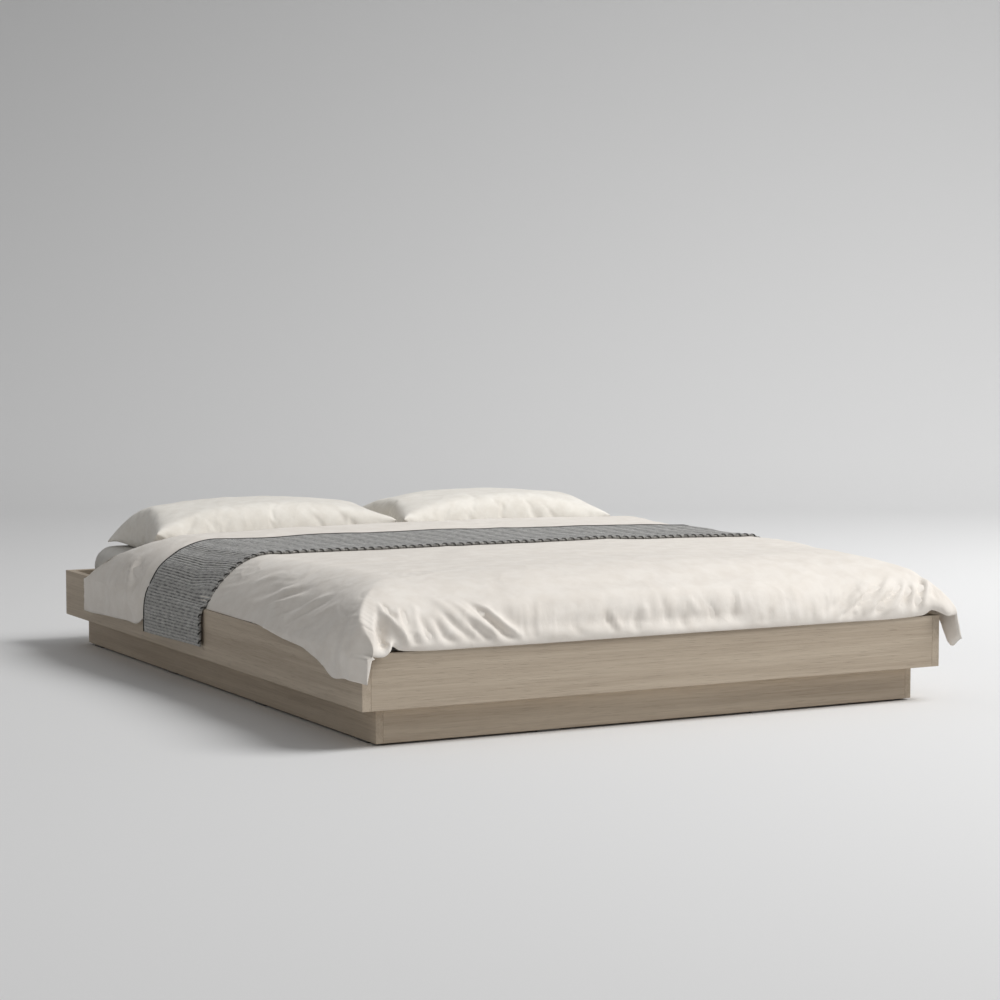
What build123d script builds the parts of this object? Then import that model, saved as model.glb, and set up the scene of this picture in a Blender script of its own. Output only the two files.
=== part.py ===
from build123d import *
import os

# Low double bed: a rail box on a recessed plinth, slats, mattress and bedding.
# Origin on the floor under the middle of the frame, +X to the right of someone
# standing at the foot and looking at the head, +Y towards the head, +Z up. Millimetres.

# Mattress the frame carries, and the room left round it
mattress_width = 1500
mattress_length = 2000
mattress_height = 165
mattress_corner_radius = 90
mattress_edge_radius = 66
side_play = 28
foot_play = 10
head_play = 46

# Rail box
rail_thickness = 22
rail_height = 130
eased_edge = 0.8
rebate_depth = 5
tenon_length = 12
tenon_thickness = 8
tenon_shoulder = 20

# Recessed plinth
plinth_height = 83
plinth_thickness = 18
plinth_side_inset = 54
plinth_end_inset = 44
housing_depth = 5
glide_height = 5
glide_width = 14
glide_length = 60
glue_block_leg = 36
glue_block_margin = 8
cleat_side = 22
cleat_length = 120

# Ledgers that lie on the plinth and tie it to the rails
ledger_thickness = 22
side_ledger_width = 76
end_ledger_width = 48

# Clearances
fit = 0.3
bore_fit = 0.05
overrun = 5

# Centre beam, its bearers, foot and felt
beam_width = 44
beam_height = 66
beam_end_play = 0.5
bearer_width = 110
bearer_depth = 34
felt_thickness = 3
felt_width = 30
foot_pad_radius = 28
foot_pad_height = 14
foot_pad_rim = 5
foot_neck_radius = 10
foot_stem_radius = 5
foot_stem_socket = 8
foot_stem_grip = 30

# Slats and their end holders
slat_count = 14
slat_width = 68
slat_thickness = 8
slat_crown = 8
slat_edge = 2
slot_depth = 38
holder_depth = 45
holder_wall = 4
holder_floor = 2.5
holder_lip = 3
holder_hook = 9
holder_corner = 4

# Ironmongery
bracket_leg = 60
bracket_height = 76
bracket_plate = 3
bracket_bend = 4
screw_radius = 2
screw_head_radius = 4
screw_head_height = 2
screw_length = 17

# Bedding
sheet_thickness = 1
soft_gap = 0.4
duvet_pillow_gap = 11
duvet_foot_set_back = 6
duvet_rise = 154
duvet_shoulder = 155
duvet_hang_shoulder = 104
duvet_tuck = 3
duvet_overhang = 24
duvet_thickness = 18
corner_drape_width = 112
fold_depth = 8
foot_flap_reach = 22
foot_flap_length = 372
head_flap_length = 463
head_flap_tip = 280
flap_drop = 88
side_hang_drop = 78
throw_width = 366
throw_thickness = 8
throw_drop = 96
throw_skew = 172
throw_centre_left = 106
pillow_left_length = 735
pillow_right_length = 695
pillow_depth = 425
pillow_height = 140
pillow_seam = 10
pillow_waist = 16
pillow_gap = 32
pillow_side_room = 45
pillow_head_room = 22

# Shares: places and forms that follow the sizes above
cross_board_shares = (-0.36, 0.36)
side_glide_shares = (-0.92, -0.31, 0.31, 0.92)
end_glide_shares = (-0.4, 0.4)
bracket_hole_share = 0.62
side_cleat_shares = (-0.66, 0, 0.66)
end_cleat_shares = (-0.5, 0.5)
# (inset, drop) along the quarter round of the mattress's top edge
roll_shares = ((0, 1), (0.134, 0.5), (0.5, 0.134), (1, 0))
side_bulge_share = 0.12
hang_bulge_share = 0.19
shoulder_rise_share = 0.9
skirt_lip_share = 0.6
throw_rise_share = 0.855
# (along the cover, height of the crown, left edge from inside the rail to outside)
cover_shares = (
    (0, 0.3, 0.9), (0.008, 0.52, 1), (0.03, 0.74, 1), (0.07, 0.86, 1), (0.15, 0.93, 1), (0.215, 0.95, 0),
    (0.34, 0.93, 0), (0.45, 0.855, 0), (0.87, 0.855, 0), (0.885, 0.88, 1), (0.93, 0.97, 1), (0.985, 1, 1),
    (1, 0.86, 1),
)
# (along the flap, how far it hangs, how far its folds stand out)
foot_flap_shares = (
    (0, 0.68, 0), (0.07, 0.7, 1), (0.15, 0.7, 0.1), (0.26, 0.69, 0.9), (0.4, 0.67, 0), (0.56, 0.66, 0.6),
    (0.7, 0.46, 0), (0.86, 0.22, 0.4), (1, 0.02, 0),
)
head_flap_shares = (
    (0, 0.86, 0), (0.12, 0.86, 0.9), (0.22, 0.88, 0.1), (0.36, 0.9, 1), (0.48, 0.93, 0), (0.6, 0.97, 0.8),
    (0.72, 1, 0.1), (0.84, 1.06, 0.9), (0.93, 1.05, 0.2), (1, 0.9, 0),
)
side_hang_shares = (
    (0, 0.85, 0), (0.05, 1, 1), (0.11, 0.98, 0.1), (0.19, 0.95, 0.9), (0.28, 0.97, 0), (0.39, 0.95, 0.7),
    (0.5, 0.93, 0), (0.62, 0.95, 0.3), (0.76, 0.95, 0.3), (0.86, 0.97, 0.9), (0.94, 1, 0.1), (1, 0.97, 0.6),
)
# (along the corner beyond the head edge, height, how far in over the rail)
corner_drape_shares = (
    (-0.04, 0.86, 1), (0.14, 0.78, 0.92), (0.28, 0.68, 0.82), (0.54, 0.44, 0.62), (0.74, 0.18, 0.42),
    (0.84, 0.03, 0.3),
)
drape_bend_share = 0.3
# (along the pillow, depth, crown)
pillow_shares = (
    (-1, 1, 0.1), (-0.93, 0.985, 0.56), (-0.78, 0.965, 0.84), (-0.46, 0.945, 0.98), (0.46, 0.945, 1),
    (0.78, 0.965, 0.86), (0.93, 0.985, 0.58), (1, 1, 0.1),
)

sides = {"left": -1, "right": 1}
ends = {"foot": -1, "head": 1}

# Heights, from the floor up
rail_bottom = glide_height + plinth_height
rail_top = rail_bottom + rail_height
ledger_top = rail_bottom + ledger_thickness
slat_seat = ledger_top + holder_floor + fit
slat_crest = slat_seat + slat_crown + slat_thickness
mattress_bottom = slat_crest + fit
mattress_top = mattress_bottom + mattress_height
bed_top = mattress_top + sheet_thickness + fit

# Half sizes in plan, from the mattress outwards
inner_x = mattress_width / 2 + side_play
inner_y = (mattress_length + foot_play + head_play) / 2
outer_x = inner_x + rail_thickness
outer_y = inner_y + rail_thickness
mattress_middle = -inner_y + foot_play + mattress_length / 2
plinth_x = outer_x - plinth_side_inset
plinth_y = outer_y - plinth_end_inset
plinth_inner_x = plinth_x - plinth_thickness
plinth_inner_y = plinth_y - plinth_thickness
ledger_edge_x = inner_x - side_ledger_width
ledger_edge_y = inner_y - end_ledger_width
beam_bottom = ledger_top - beam_height

os.makedirs("parts", exist_ok=True)


def save(name, *solids):
    """Write one node, of one solid or of a group of separate ones."""
    export_step(solids[0] if len(solids) == 1 else Compound(children=list(solids)), f"parts/{name}.step")


def block(xs, ys, zs):
    """A block between two planes along each axis, given in either order."""
    lows = [min(pair) for pair in (xs, ys, zs)]
    highs = [max(pair) for pair in (xs, ys, zs)]
    sizes = [high - low for low, high in zip(lows, highs)]
    middles = [(low + high) / 2 for low, high in zip(lows, highs)]
    return Pos(*middles) * Box(*sizes)


def board(xs, ys, zs):
    """A timber board with every edge eased."""
    blank = block(xs, ys, zs)
    return chamfer(blank.edges(), eased_edge)


def rod(start, direction, radius, length):
    """A round bar or the cutter for its hole, from a point along a direction."""
    flat = Cylinder(radius, length, align=(Align.CENTER, Align.CENTER, Align.MIN))
    return Plane(origin=start, z_dir=direction) * flat


def screw(seat, direction, length):
    """A pan-head screw whose head stands on the seat and whose shank runs along the direction."""
    out = tuple(-part for part in direction)
    return rod(seat, out, screw_head_radius, screw_head_height) + rod(seat, direction, screw_radius, length)


def screw_hole(seat, direction, length):
    """The bore for a screw's shank, open at the seat."""
    start = tuple(place - part * overrun for place, part in zip(seat, direction))
    return rod(start, direction, screw_radius + bore_fit, length + overrun + bore_fit)


def cut(solid, cutters):
    """A solid with each cutter taken out of it."""
    for cutter in cutters:
        solid = solid - cutter
    return solid


# Rails: the side rails run the full length, the foot and head rails are tenoned between them.
# Each rail is rebated along its inner bottom edge, where it sits over the ledger.
def make_rails():
    rails = {}
    zs = (rail_bottom, rail_top)
    level = (rail_bottom - overrun, ledger_top)
    tenon_zs = (rail_bottom + tenon_shoulder, rail_top - tenon_shoulder)
    middle = inner_y + rail_thickness / 2
    for side, sx in sides.items():
        plank = board((sx * inner_x, sx * outer_x), (-outer_y, outer_y), zs)
        run = inner_y + rebate_depth
        rebate = block((sx * (inner_x - overrun), sx * (inner_x + rebate_depth)), (-run, run), level)
        mortises = [
            block(
                (sx * (inner_x - overrun), sx * (inner_x + tenon_length)),
                (sy * (middle - tenon_thickness / 2 - fit), sy * (middle + tenon_thickness / 2 + fit)),
                (tenon_zs[0] - fit, tenon_zs[1] + fit),
            )
            for sy in ends.values()
        ]
        rails[f"side_rail_{side}"] = cut(plank, [rebate, *mortises])
    for end, sy in ends.items():
        plank = board((-inner_x, inner_x), (sy * inner_y, sy * outer_y), zs)
        reach = inner_x + tenon_length - fit
        ys = (sy * (middle - tenon_thickness / 2), sy * (middle + tenon_thickness / 2))
        rebate_ys = (sy * (inner_y - overrun), sy * (inner_y + rebate_depth))
        rebate = block((-outer_x, outer_x), rebate_ys, level)
        rails[f"{end}_rail"] = plank + block((-reach, reach), ys, tenon_zs) - rebate
    return rails


# Corner brackets: bent steel, one screw through each leg
def corner_bracket(sx, sy):
    low = ledger_top + fit
    corner = (sx * inner_x, sy * inner_y)
    zs = (low, low + bracket_height)
    inner = (corner[0] - sx * bracket_plate, corner[1] - sy * bracket_plate, low)
    along_x = block((corner[0], corner[0] - sx * bracket_leg), (corner[1], inner[1]), zs)
    along_y = block((corner[0], inner[0]), (corner[1], corner[1] - sy * bracket_leg), zs)
    plate = along_x + along_y
    upright = plate.edges().filter_by(Axis.Z)
    outside = upright.sort_by_distance((corner[0], corner[1], low))[0]
    plate = fillet(outside, bracket_bend)
    inside = plate.edges().filter_by(Axis.Z).sort_by_distance(inner)[0]
    plate = fillet(inside, bracket_bend - bracket_plate)
    level = low + bracket_height / 2
    reach = bracket_leg * bracket_hole_share
    seats = [
        ((corner[0] - sx * reach, inner[1], level), (0, sy, 0)),
        ((inner[0], corner[1] - sy * reach, level), (sx, 0, 0)),
    ]
    return plate, seats


# Plinth: the side boards run through, the foot and head boards and the cross boards stand between them
def make_plinth():
    zs = (glide_height, rail_bottom)
    pieces = {}
    cross_places = [plinth_inner_y * share for share in cross_board_shares]
    half = plinth_thickness / 2
    notch_half = beam_width / 2 + fit
    notch = block((-notch_half, notch_half), (-plinth_y, plinth_y), (beam_bottom, rail_bottom + overrun))
    for side, sx in sides.items():
        plank = board((sx * plinth_inner_x, sx * plinth_x), (-plinth_y, plinth_y), zs)
        grooves = [
            block(
                (sx * (plinth_inner_x - overrun), sx * (plinth_inner_x + housing_depth)),
                (y - half - fit, y + half + fit),
                (glide_height - overrun, rail_bottom + overrun),
            )
            for y in cross_places
        ]
        pieces[f"plinth_side_{side}"] = cut(plank, grooves)
    for end, sy in ends.items():
        ys = (sy * plinth_inner_y, sy * plinth_y)
        pieces[f"plinth_{end}"] = board((-plinth_inner_x, plinth_inner_x), ys, zs)
    reach = plinth_inner_x + housing_depth - fit
    for name, y in zip(("plinth_cross_foot", "plinth_cross_head"), cross_places):
        pieces[name] = block((-reach, reach), (y - half, y + half), zs) - notch
    return pieces


def make_glue_blocks():
    blocks = []
    for sx in sides.values():
        for sy in ends.values():
            corner = (sx * plinth_inner_x, sy * plinth_inner_y)
            outline = Polyline(
                corner,
                (corner[0] - sx * glue_block_leg, corner[1]),
                (corner[0], corner[1] - sy * glue_block_leg),
                close=True,
            )
            prism = extrude(make_face(outline), plinth_height - 2 * glue_block_margin, dir=(0, 0, 1))
            blocks.append(Pos(0, 0, glide_height + glue_block_margin) * prism)
    return blocks


def make_glides():
    """Felt strips under the plinth's boards, narrower than the boards so that they don't show."""
    pads = []
    side_line = plinth_x - plinth_thickness / 2
    end_line = plinth_y - plinth_thickness / 2
    for sx in sides.values():
        for share in side_glide_shares:
            y = plinth_y * share
            xs = (sx * side_line - glide_width / 2, sx * side_line + glide_width / 2)
            pads.append(block(xs, (y - glide_length / 2, y + glide_length / 2), (0, glide_height)))
    for sy in ends.values():
        for share in end_glide_shares:
            x = plinth_x * share
            ys = (sy * end_line - glide_width / 2, sy * end_line + glide_width / 2)
            pads.append(block((x - glide_length / 2, x + glide_length / 2), ys, (0, glide_height)))
    return pads


# Ledgers: the side ones run from rebate to rebate, the end ones stand between them
def make_ledgers():
    zs = (rail_bottom, ledger_top)
    far_x, far_y = inner_x + rebate_depth - fit, inner_y + rebate_depth - fit
    pieces = {}
    for side, sx in sides.items():
        pieces[f"ledger_{side}"] = block((sx * ledger_edge_x, sx * far_x), (-far_y, far_y), zs)
    for end, sy in ends.items():
        pieces[f"ledger_{end}"] = block((-ledger_edge_x, ledger_edge_x), (sy * ledger_edge_y, sy * far_y), zs)
    return pieces


def make_cleats():
    """Blocks under the ledgers, inside the plinth, that keep the rail box in place on it."""
    zs = (rail_bottom - cleat_side, rail_bottom)
    cleats = []
    for sx in sides.values():
        for share in side_cleat_shares:
            y = plinth_inner_y * share
            xs = (sx * (plinth_inner_x - fit), sx * (plinth_inner_x - cleat_side))
            cleats.append(block(xs, (y - cleat_length / 2, y + cleat_length / 2), zs))
    for sy in ends.values():
        for share in end_cleat_shares:
            x = plinth_inner_x * share
            ys = (sy * (plinth_inner_y - fit), sy * (plinth_inner_y - cleat_side))
            cleats.append(block((x - cleat_length / 2, x + cleat_length / 2), ys, zs))
    return cleats


# Centre beam with its bearers, foot and felt
def make_beam():
    end = ledger_edge_y - beam_end_play
    beam = block((-beam_width / 2, beam_width / 2), (-end, end), (beam_bottom, ledger_top))
    depth = foot_stem_grip + overrun + fit
    return beam - rod((0, 0, beam_bottom - overrun), (0, 0, 1), foot_stem_radius + bore_fit, depth)


def beam_bearer(sy):
    """A timber block on the plinth board, notched for the beam's end."""
    wall = sy * plinth_inner_y
    ys = (wall, wall - sy * bearer_depth)
    seat = block((-bearer_width / 2, bearer_width / 2), ys, (glide_height, rail_bottom))
    half = beam_width / 2 + fit
    notch_ys = (wall + sy * overrun, wall - sy * (bearer_depth + overrun))
    return seat - block((-half, half), notch_ys, (beam_bottom, rail_bottom + overrun))


def make_centre_foot():
    pad = Cylinder(foot_pad_radius, foot_pad_rim, align=(Align.CENTER, Align.CENTER, Align.MIN))
    neck = Cone(foot_pad_radius, foot_neck_radius, foot_pad_height - foot_pad_rim)
    neck = Pos(0, 0, (foot_pad_rim + foot_pad_height) / 2) * neck
    socket = rod((0, 0, foot_stem_socket - fit), (0, 0, 1), foot_stem_radius + bore_fit, foot_pad_height)
    stem_length = beam_bottom + foot_stem_grip - foot_stem_socket
    return pad + neck - socket, rod((0, 0, foot_stem_socket), (0, 0, 1), foot_stem_radius, stem_length)


# Slats: laminated strips bowed upwards, each end in a moulded holder that hooks on the ledger's edge
slat_half = ledger_edge_x + slot_depth - fit
slat_pitch = 2 * ledger_edge_y / slat_count
slat_places = [-ledger_edge_y + slat_pitch * (index + 1 / 2) for index in range(slat_count)]
end_rise = slat_crown * (1 - (1 - slot_depth / slat_half) ** 2)


def slat(y):
    """The strip between two arcs of one chord, drawn across the bed and pulled along it."""
    under, over = [
        ThreePointArc((-slat_half, 0, level), (0, 0, level + slat_crown), (slat_half, 0, level))
        for level in (slat_seat, slat_seat + slat_thickness)
    ]
    section = make_face([under, Line(under @ 1, over @ 1), over, Line(over @ 0, under @ 0)])
    strip = extrude(section, slat_width / 2, dir=(0, 1, 0), both=True)
    upright = strip.edges().filter_by(Axis.Z)
    return Pos(0, y, 0) * chamfer(upright, slat_edge)


def slat_holder(sx, y):
    """A cap with a slot open towards the bed's middle and a hook over the ledger's inner edge."""
    mouth = ledger_edge_x
    half = slat_width / 2 + holder_wall
    slot_height = slat_thickness + end_rise + 2 * fit
    top = ledger_top + holder_floor + slot_height + holder_floor
    cap = block((sx * mouth, sx * (mouth + holder_depth)), (y - half, y + half), (ledger_top, top))
    back = cap.edges().filter_by(Axis.Z).sort_by(Axis.X)
    cap = chamfer(back[:2] if sx < 0 else back[-2:], holder_corner)
    hook_zs = (ledger_top - holder_hook, top)
    hook = block((sx * mouth, sx * (mouth - holder_lip)), (y - half, y + half), hook_zs)
    room = block(
        (sx * (mouth - holder_lip - overrun), sx * (mouth + slot_depth)),
        (y - slat_width / 2 - fit, y + slat_width / 2 + fit),
        (ledger_top + holder_floor, ledger_top + holder_floor + slot_height),
    )
    return cap + hook - room


# Mattress, and the same soft-edged form grown for the sheet over it and the duvet's underside
def mattress_form(grow, bottom):
    """The mattress's form, grown on its sides and top, with a rolled top edge in three bands."""
    levels = [(0, bottom)]
    radius = mattress_edge_radius + grow
    for inset_share, drop_share in roll_shares:
        levels.append((radius * inset_share, mattress_top + grow - radius * drop_share))
    rims = []
    for inset, height in levels:
        grown = 2 * (grow - inset)
        width, length = mattress_width + grown, mattress_length + grown
        rim = RectangleRounded(width, length, mattress_corner_radius + grow - inset)
        rims.append((Pos(0, mattress_middle, height) * rim).wire())
    return Solid.make_loft(rims, ruled=True)


def make_sheet():
    skirt = mattress_form(fit + sheet_thickness, mattress_bottom)
    return skirt - mattress_form(fit, mattress_bottom - overrun)


# Duvet: a crowned cover whose sides end inside the rails or hang outside them
cover_bottom = rail_top + soft_gap
cover_foot = -outer_y + duvet_foot_set_back
pillow_front = mattress_middle + mattress_length / 2 - pillow_head_room - pillow_depth
cover_length = pillow_front - duvet_pillow_gap - cover_foot
tuck_x = inner_x - duvet_tuck
hang_x = outer_x + duvet_overhang


def crown_arcs(left, right, bottom, shoulder, crest, y):
    """Three arcs over the bed: up the left side, across the crown and down the right side."""

    def side_arc(low, high, bulge):
        run, rise = high[0] - low[0], high[2] - low[2]
        out = -bulge if run > 0 else bulge
        middle = ((low[0] + high[0]) / 2 + out * rise, y, (low[2] + high[2]) / 2 - out * run)
        return ThreePointArc(low, middle, high)

    low_left, low_right = (left, y, bottom), (right, y, bottom)
    high_left = (duvet_shoulder - tuck_x, y, shoulder)
    high_right = (hang_x - duvet_hang_shoulder, y, shoulder)
    across = ThreePointArc(high_left, ((high_left[0] + high_right[0]) / 2, y, crest), high_right)
    return [
        side_arc(low_left, high_left, side_bulge_share),
        across,
        side_arc(low_right, high_right, hang_bulge_share),
    ]


def cover_section(y_share, rise_share, hang_share):
    """A cross-section of the cover: hang_share moves its left edge from inside the rail to outside it."""
    y = cover_foot + cover_length * y_share
    rise = duvet_rise * rise_share
    left = -tuck_x - (hang_x - tuck_x) * hang_share
    shoulder = cover_bottom + rise * shoulder_rise_share
    arcs = crown_arcs(left, hang_x, cover_bottom, shoulder, cover_bottom + rise, y)
    return Wire(arcs + [Line((left, y, cover_bottom), (hang_x, y, cover_bottom))])


def skirt_section(sx, y, low, out_share):
    """A cross-section of the cloth that hangs outside a rail, with out_share as its fold."""
    inside = outer_x + soft_gap
    lip = cover_bottom + duvet_thickness * skirt_lip_share
    out = outer_x + duvet_thickness + fold_depth * out_share
    top_out = hang_x - duvet_thickness * skirt_lip_share
    inner_line = Line((sx * inside, y, low), (sx * inside, y, lip))
    lip_line = Line((sx * inside, y, lip), (sx * top_out, y, lip))
    swell = ThreePointArc((sx * top_out, y, lip), (sx * out, y, (low + lip) / 2), (sx * top_out, y, low))
    hem = Line((sx * top_out, y, low), (sx * inside, y, low))
    return Wire([inner_line, lip_line, swell, hem])


def skirt(sx, y_start, y_end, shares, drop):
    """Cloth outside a rail between two places along it, from (place, drop, fold) shares."""
    sections = []
    for place_share, drop_share, out_share in shares:
        y = y_start + (y_end - y_start) * place_share
        sections.append(skirt_section(sx, y, cover_bottom - drop * drop_share, out_share))
    return Solid.make_loft(sections, ruled=True)


def corner_drape():
    """The cover's head-left corner, which falls over the rail beyond the head edge, lower and lower."""
    sections = []
    head = cover_foot + cover_length
    for place_share, rise_share, inset_share in corner_drape_shares:
        y = head + head_flap_tip * place_share
        top, edge = cover_bottom + duvet_rise * rise_share, -hang_x + corner_drape_width * inset_share
        low, high = (-hang_x, y, cover_bottom), (edge, y, top)
        bend_x = -hang_x + (edge + hang_x) * drape_bend_share
        bend = (bend_x, y, top - (top - cover_bottom) * drape_bend_share)
        sections.append(Wire([ThreePointArc(low, bend, high), Line(high, (edge, y, cover_bottom)),
                              Line((edge, y, cover_bottom), low)]))
    return Solid.make_loft(sections, ruled=True)


def make_duvet():
    cover = Solid.make_loft([cover_section(*row) for row in cover_shares], ruled=True)
    foot_flap_start = -outer_y - foot_flap_reach
    head_flap_start = cover_foot + cover_length - head_flap_length + head_flap_tip
    head_flap_end = cover_foot + cover_length + head_flap_tip
    cover += skirt(-1, foot_flap_start, foot_flap_start + foot_flap_length, foot_flap_shares, flap_drop)
    cover += skirt(-1, head_flap_start, head_flap_end, head_flap_shares, flap_drop)
    cover += skirt(1, foot_flap_start, cover_foot + cover_length, side_hang_shares, side_hang_drop)
    cover += corner_drape()
    return cover - mattress_form(sheet_thickness + 2 * fit, mattress_bottom)


# Throw: a ribbon that follows the cover and hangs over both sides, cut on the skew
def make_throw():
    rise = duvet_rise * throw_rise_share
    hem = rail_top - throw_drop
    left_in, right_in = -outer_x - soft_gap, hang_x + soft_gap
    shoulder = cover_bottom + rise * shoulder_rise_share

    def over(grow):
        low = cover_bottom + soft_gap
        crest = cover_bottom + rise + soft_gap + grow
        arcs = crown_arcs(left_in - grow, right_in + grow, low, shoulder + soft_gap + grow, crest, 0)
        return Line((left_in - grow, 0, hem), (left_in - grow, 0, low)), arcs, (right_in + grow, 0, low)

    under_left, under_arcs, under_end = over(0)
    top_left, top_arcs, top_end = over(throw_thickness)
    under_right = Line(under_end, (under_end[0], 0, hem))
    top_right = Line(top_end, (top_end[0], 0, hem))
    edges = [under_left, *under_arcs, under_right, Line(under_right @ 1, top_right @ 1), top_right, *top_arcs]
    edges += [top_left, Line(top_left @ 0, under_left @ 0)]
    ribbon = extrude(make_face(edges), throw_width + throw_skew, dir=(0, 1, 0), both=True)
    half = throw_width / 2
    left_y, right_y = throw_centre_left, throw_centre_left - throw_skew
    reach = hang_x + throw_thickness + overrun
    corners = [
        (-reach, left_y - half),
        (reach, right_y - half),
        (reach, right_y + half),
        (-reach, left_y + half),
    ]
    band = extrude(make_face(Polyline(*corners, close=True)), bed_top + duvet_rise, dir=(0, 0, 1))
    return ribbon & band


# Pillows: crowned, with thin pointed corners and sides drawn in between them
def pillow(middle_x, length):
    middle_y = pillow_front + pillow_depth / 2
    bottom = bed_top + fit
    sections = []
    for place_share, depth_share, rise_share in pillow_shares:
        x = middle_x + length / 2 * place_share
        half = pillow_depth / 2 * depth_share
        seam = bottom + pillow_seam
        crest = seam + (pillow_height - pillow_seam) * rise_share
        near, far = middle_y - half, middle_y + half
        sections.append(
            Wire([
                Line((x, near, bottom), (x, near, seam)),
                ThreePointArc((x, near, seam), (x, middle_y, crest), (x, far, seam)),
                Line((x, far, seam), (x, far, bottom)),
                Line((x, far, bottom), (x, near, bottom)),
            ])
        )
    form = Solid.make_loft(sections, ruled=True)
    radius = ((pillow_depth / 2) ** 2 + pillow_waist**2) / (2 * pillow_waist)
    for sign in (-1, 1):
        away = sign * (length / 2 + radius - pillow_waist)
        start = (middle_x + away, middle_y, bottom - overrun)
        form = form - rod(start, (0, 0, 1), radius, pillow_height + 2 * overrun)
    return form


def main():
    rails = make_rails()
    bracket_screws = []
    for side, sx in sides.items():
        for end, sy in ends.items():
            bracket, seats = corner_bracket(sx, sy)
            for seat, way in seats:
                bracket_screws.append(screw(seat, way, screw_length))
                bore = screw_hole(seat, way, screw_length)
                bracket = bracket - bore
                rail = f"side_rail_{side}" if way[0] else f"{end}_rail"
                rails[rail] = rails[rail] - bore
            save(f"corner_bracket_{end}_{side}", bracket)
    save("corner_bracket_screws", *bracket_screws)
    for name, piece in {**rails, **make_plinth(), **make_ledgers()}.items():
        save(name, piece)
    save("plinth_glue_blocks", *make_glue_blocks())
    save("plinth_glides", *make_glides())
    save("ledger_cleats", *make_cleats())

    save("centre_beam", make_beam())
    for end, sy in ends.items():
        save(f"beam_bearer_{end}", beam_bearer(sy))
    felt_reach = ledger_edge_y - slat_width
    felt_zs = (ledger_top, ledger_top + felt_thickness)
    save("beam_felt", block((-felt_width / 2, felt_width / 2), (-felt_reach, felt_reach), felt_zs))
    pad, stem = make_centre_foot()
    save("centre_foot_pad", pad)
    save("centre_foot_stem", stem)

    for index, y in enumerate(slat_places):
        save(f"slat_{index + 1:02d}", slat(y))
    for side, sx in sides.items():
        save(f"slat_holders_{side}", *[slat_holder(sx, y) for y in slat_places])

    save("mattress", mattress_form(0, mattress_bottom))
    save("fitted_sheet", make_sheet())
    save("duvet", make_duvet())
    save("throw", make_throw())
    left_end = -mattress_width / 2 + pillow_side_room
    right_start = left_end + pillow_left_length + pillow_gap
    save("pillow_left", pillow(left_end + pillow_left_length / 2, pillow_left_length))
    save("pillow_right", pillow(right_start + pillow_right_length / 2, pillow_right_length))


main()
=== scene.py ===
import math

import bpy
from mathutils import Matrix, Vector
import numpy as np


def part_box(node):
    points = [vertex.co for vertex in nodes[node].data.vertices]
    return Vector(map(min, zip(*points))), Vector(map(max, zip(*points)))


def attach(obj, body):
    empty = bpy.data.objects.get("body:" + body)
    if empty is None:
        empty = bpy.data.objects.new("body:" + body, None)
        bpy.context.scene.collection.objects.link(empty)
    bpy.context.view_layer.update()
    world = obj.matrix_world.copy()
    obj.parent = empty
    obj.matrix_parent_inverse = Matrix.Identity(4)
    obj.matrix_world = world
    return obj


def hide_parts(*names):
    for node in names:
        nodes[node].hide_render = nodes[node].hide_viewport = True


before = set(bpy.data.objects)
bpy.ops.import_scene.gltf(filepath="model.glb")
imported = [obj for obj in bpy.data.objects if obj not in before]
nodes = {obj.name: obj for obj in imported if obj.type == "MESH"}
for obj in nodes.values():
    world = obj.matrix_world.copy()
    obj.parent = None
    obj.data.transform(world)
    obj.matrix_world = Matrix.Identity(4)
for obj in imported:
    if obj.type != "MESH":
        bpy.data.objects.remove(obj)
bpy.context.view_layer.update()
print("frame loaded:", len(nodes), "nodes")

# A low platform bed, dressed. The frame keeps its CAD meshes and gets its finishes here; mattress,
# sheet, duvet, throw and pillows are made as grids. The foot is at -Y and the bed's left side at -X.

# Places read from the frame, in metres
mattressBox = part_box("mattress")
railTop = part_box("side_rail_left")[1].z
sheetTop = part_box("fitted_sheet")[1].z


# Numpy helpers

def smooth(low, high, value):
    # cubic step: 3t^2 - 2t^3, where t runs from 0 at low to 1 at high
    t = np.clip((value - low) / (high - low), 0, 1)
    return t * t * (3 - 2 * t)


def mixed(a, b, share):
    # straight mix, a at share 0 and b at share 1
    return a + (b - a) * share


def bezier(a, b, c, d, t):
    # cubic Bezier: ends a and d, handles b and c, weighted by powers of t and 1 - t
    s = 1 - t
    return a * s**3 + 3 * b * s * s * t + 3 * c * s * t * t + d * t**3


def through(places, values, at):
    # piecewise cubic through the values, with slopes from the neighbours on either side
    places, values = np.asarray(places, float), np.asarray(values, float)
    slopes = np.gradient(values, places)
    at = np.clip(at, places[0], places[-1])
    i = np.clip(np.searchsorted(places, at, side="right") - 1, 0, len(places) - 2)
    step = places[i + 1] - places[i]
    t = (at - places[i]) / step
    return (
        values[i] * (1 + 2 * t) * (1 - t) ** 2
        + slopes[i] * step * t * (1 - t) ** 2
        + values[i + 1] * t * t * (3 - 2 * t)
        + slopes[i + 1] * step * t * t * (t - 1)
    )


def fromTable(table, column, at):
    # one column of a table of places and values, read at other places
    return through(table["places"], table[column], at)


def gridNormals(points):
    # unit cross product of the differences along the rows and along the columns
    across = np.gradient(points, axis=1)
    along = np.gradient(points, axis=0)
    normal = np.cross(across, along)
    return normal / np.maximum(np.linalg.norm(normal, axis=2, keepdims=True), 1e-12)


def gridFaces(rows, cols, first=0, flip=False):
    # one quad for each cell of a grid of rows x cols points
    i, j = np.meshgrid(np.arange(rows - 1), np.arange(cols - 1), indexing="ij")
    a = (first + i * cols + j).ravel()
    quads = np.stack([a, a + 1, a + cols + 1, a + cols], axis=1)
    return quads[:, ::-1] if flip else quads


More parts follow.
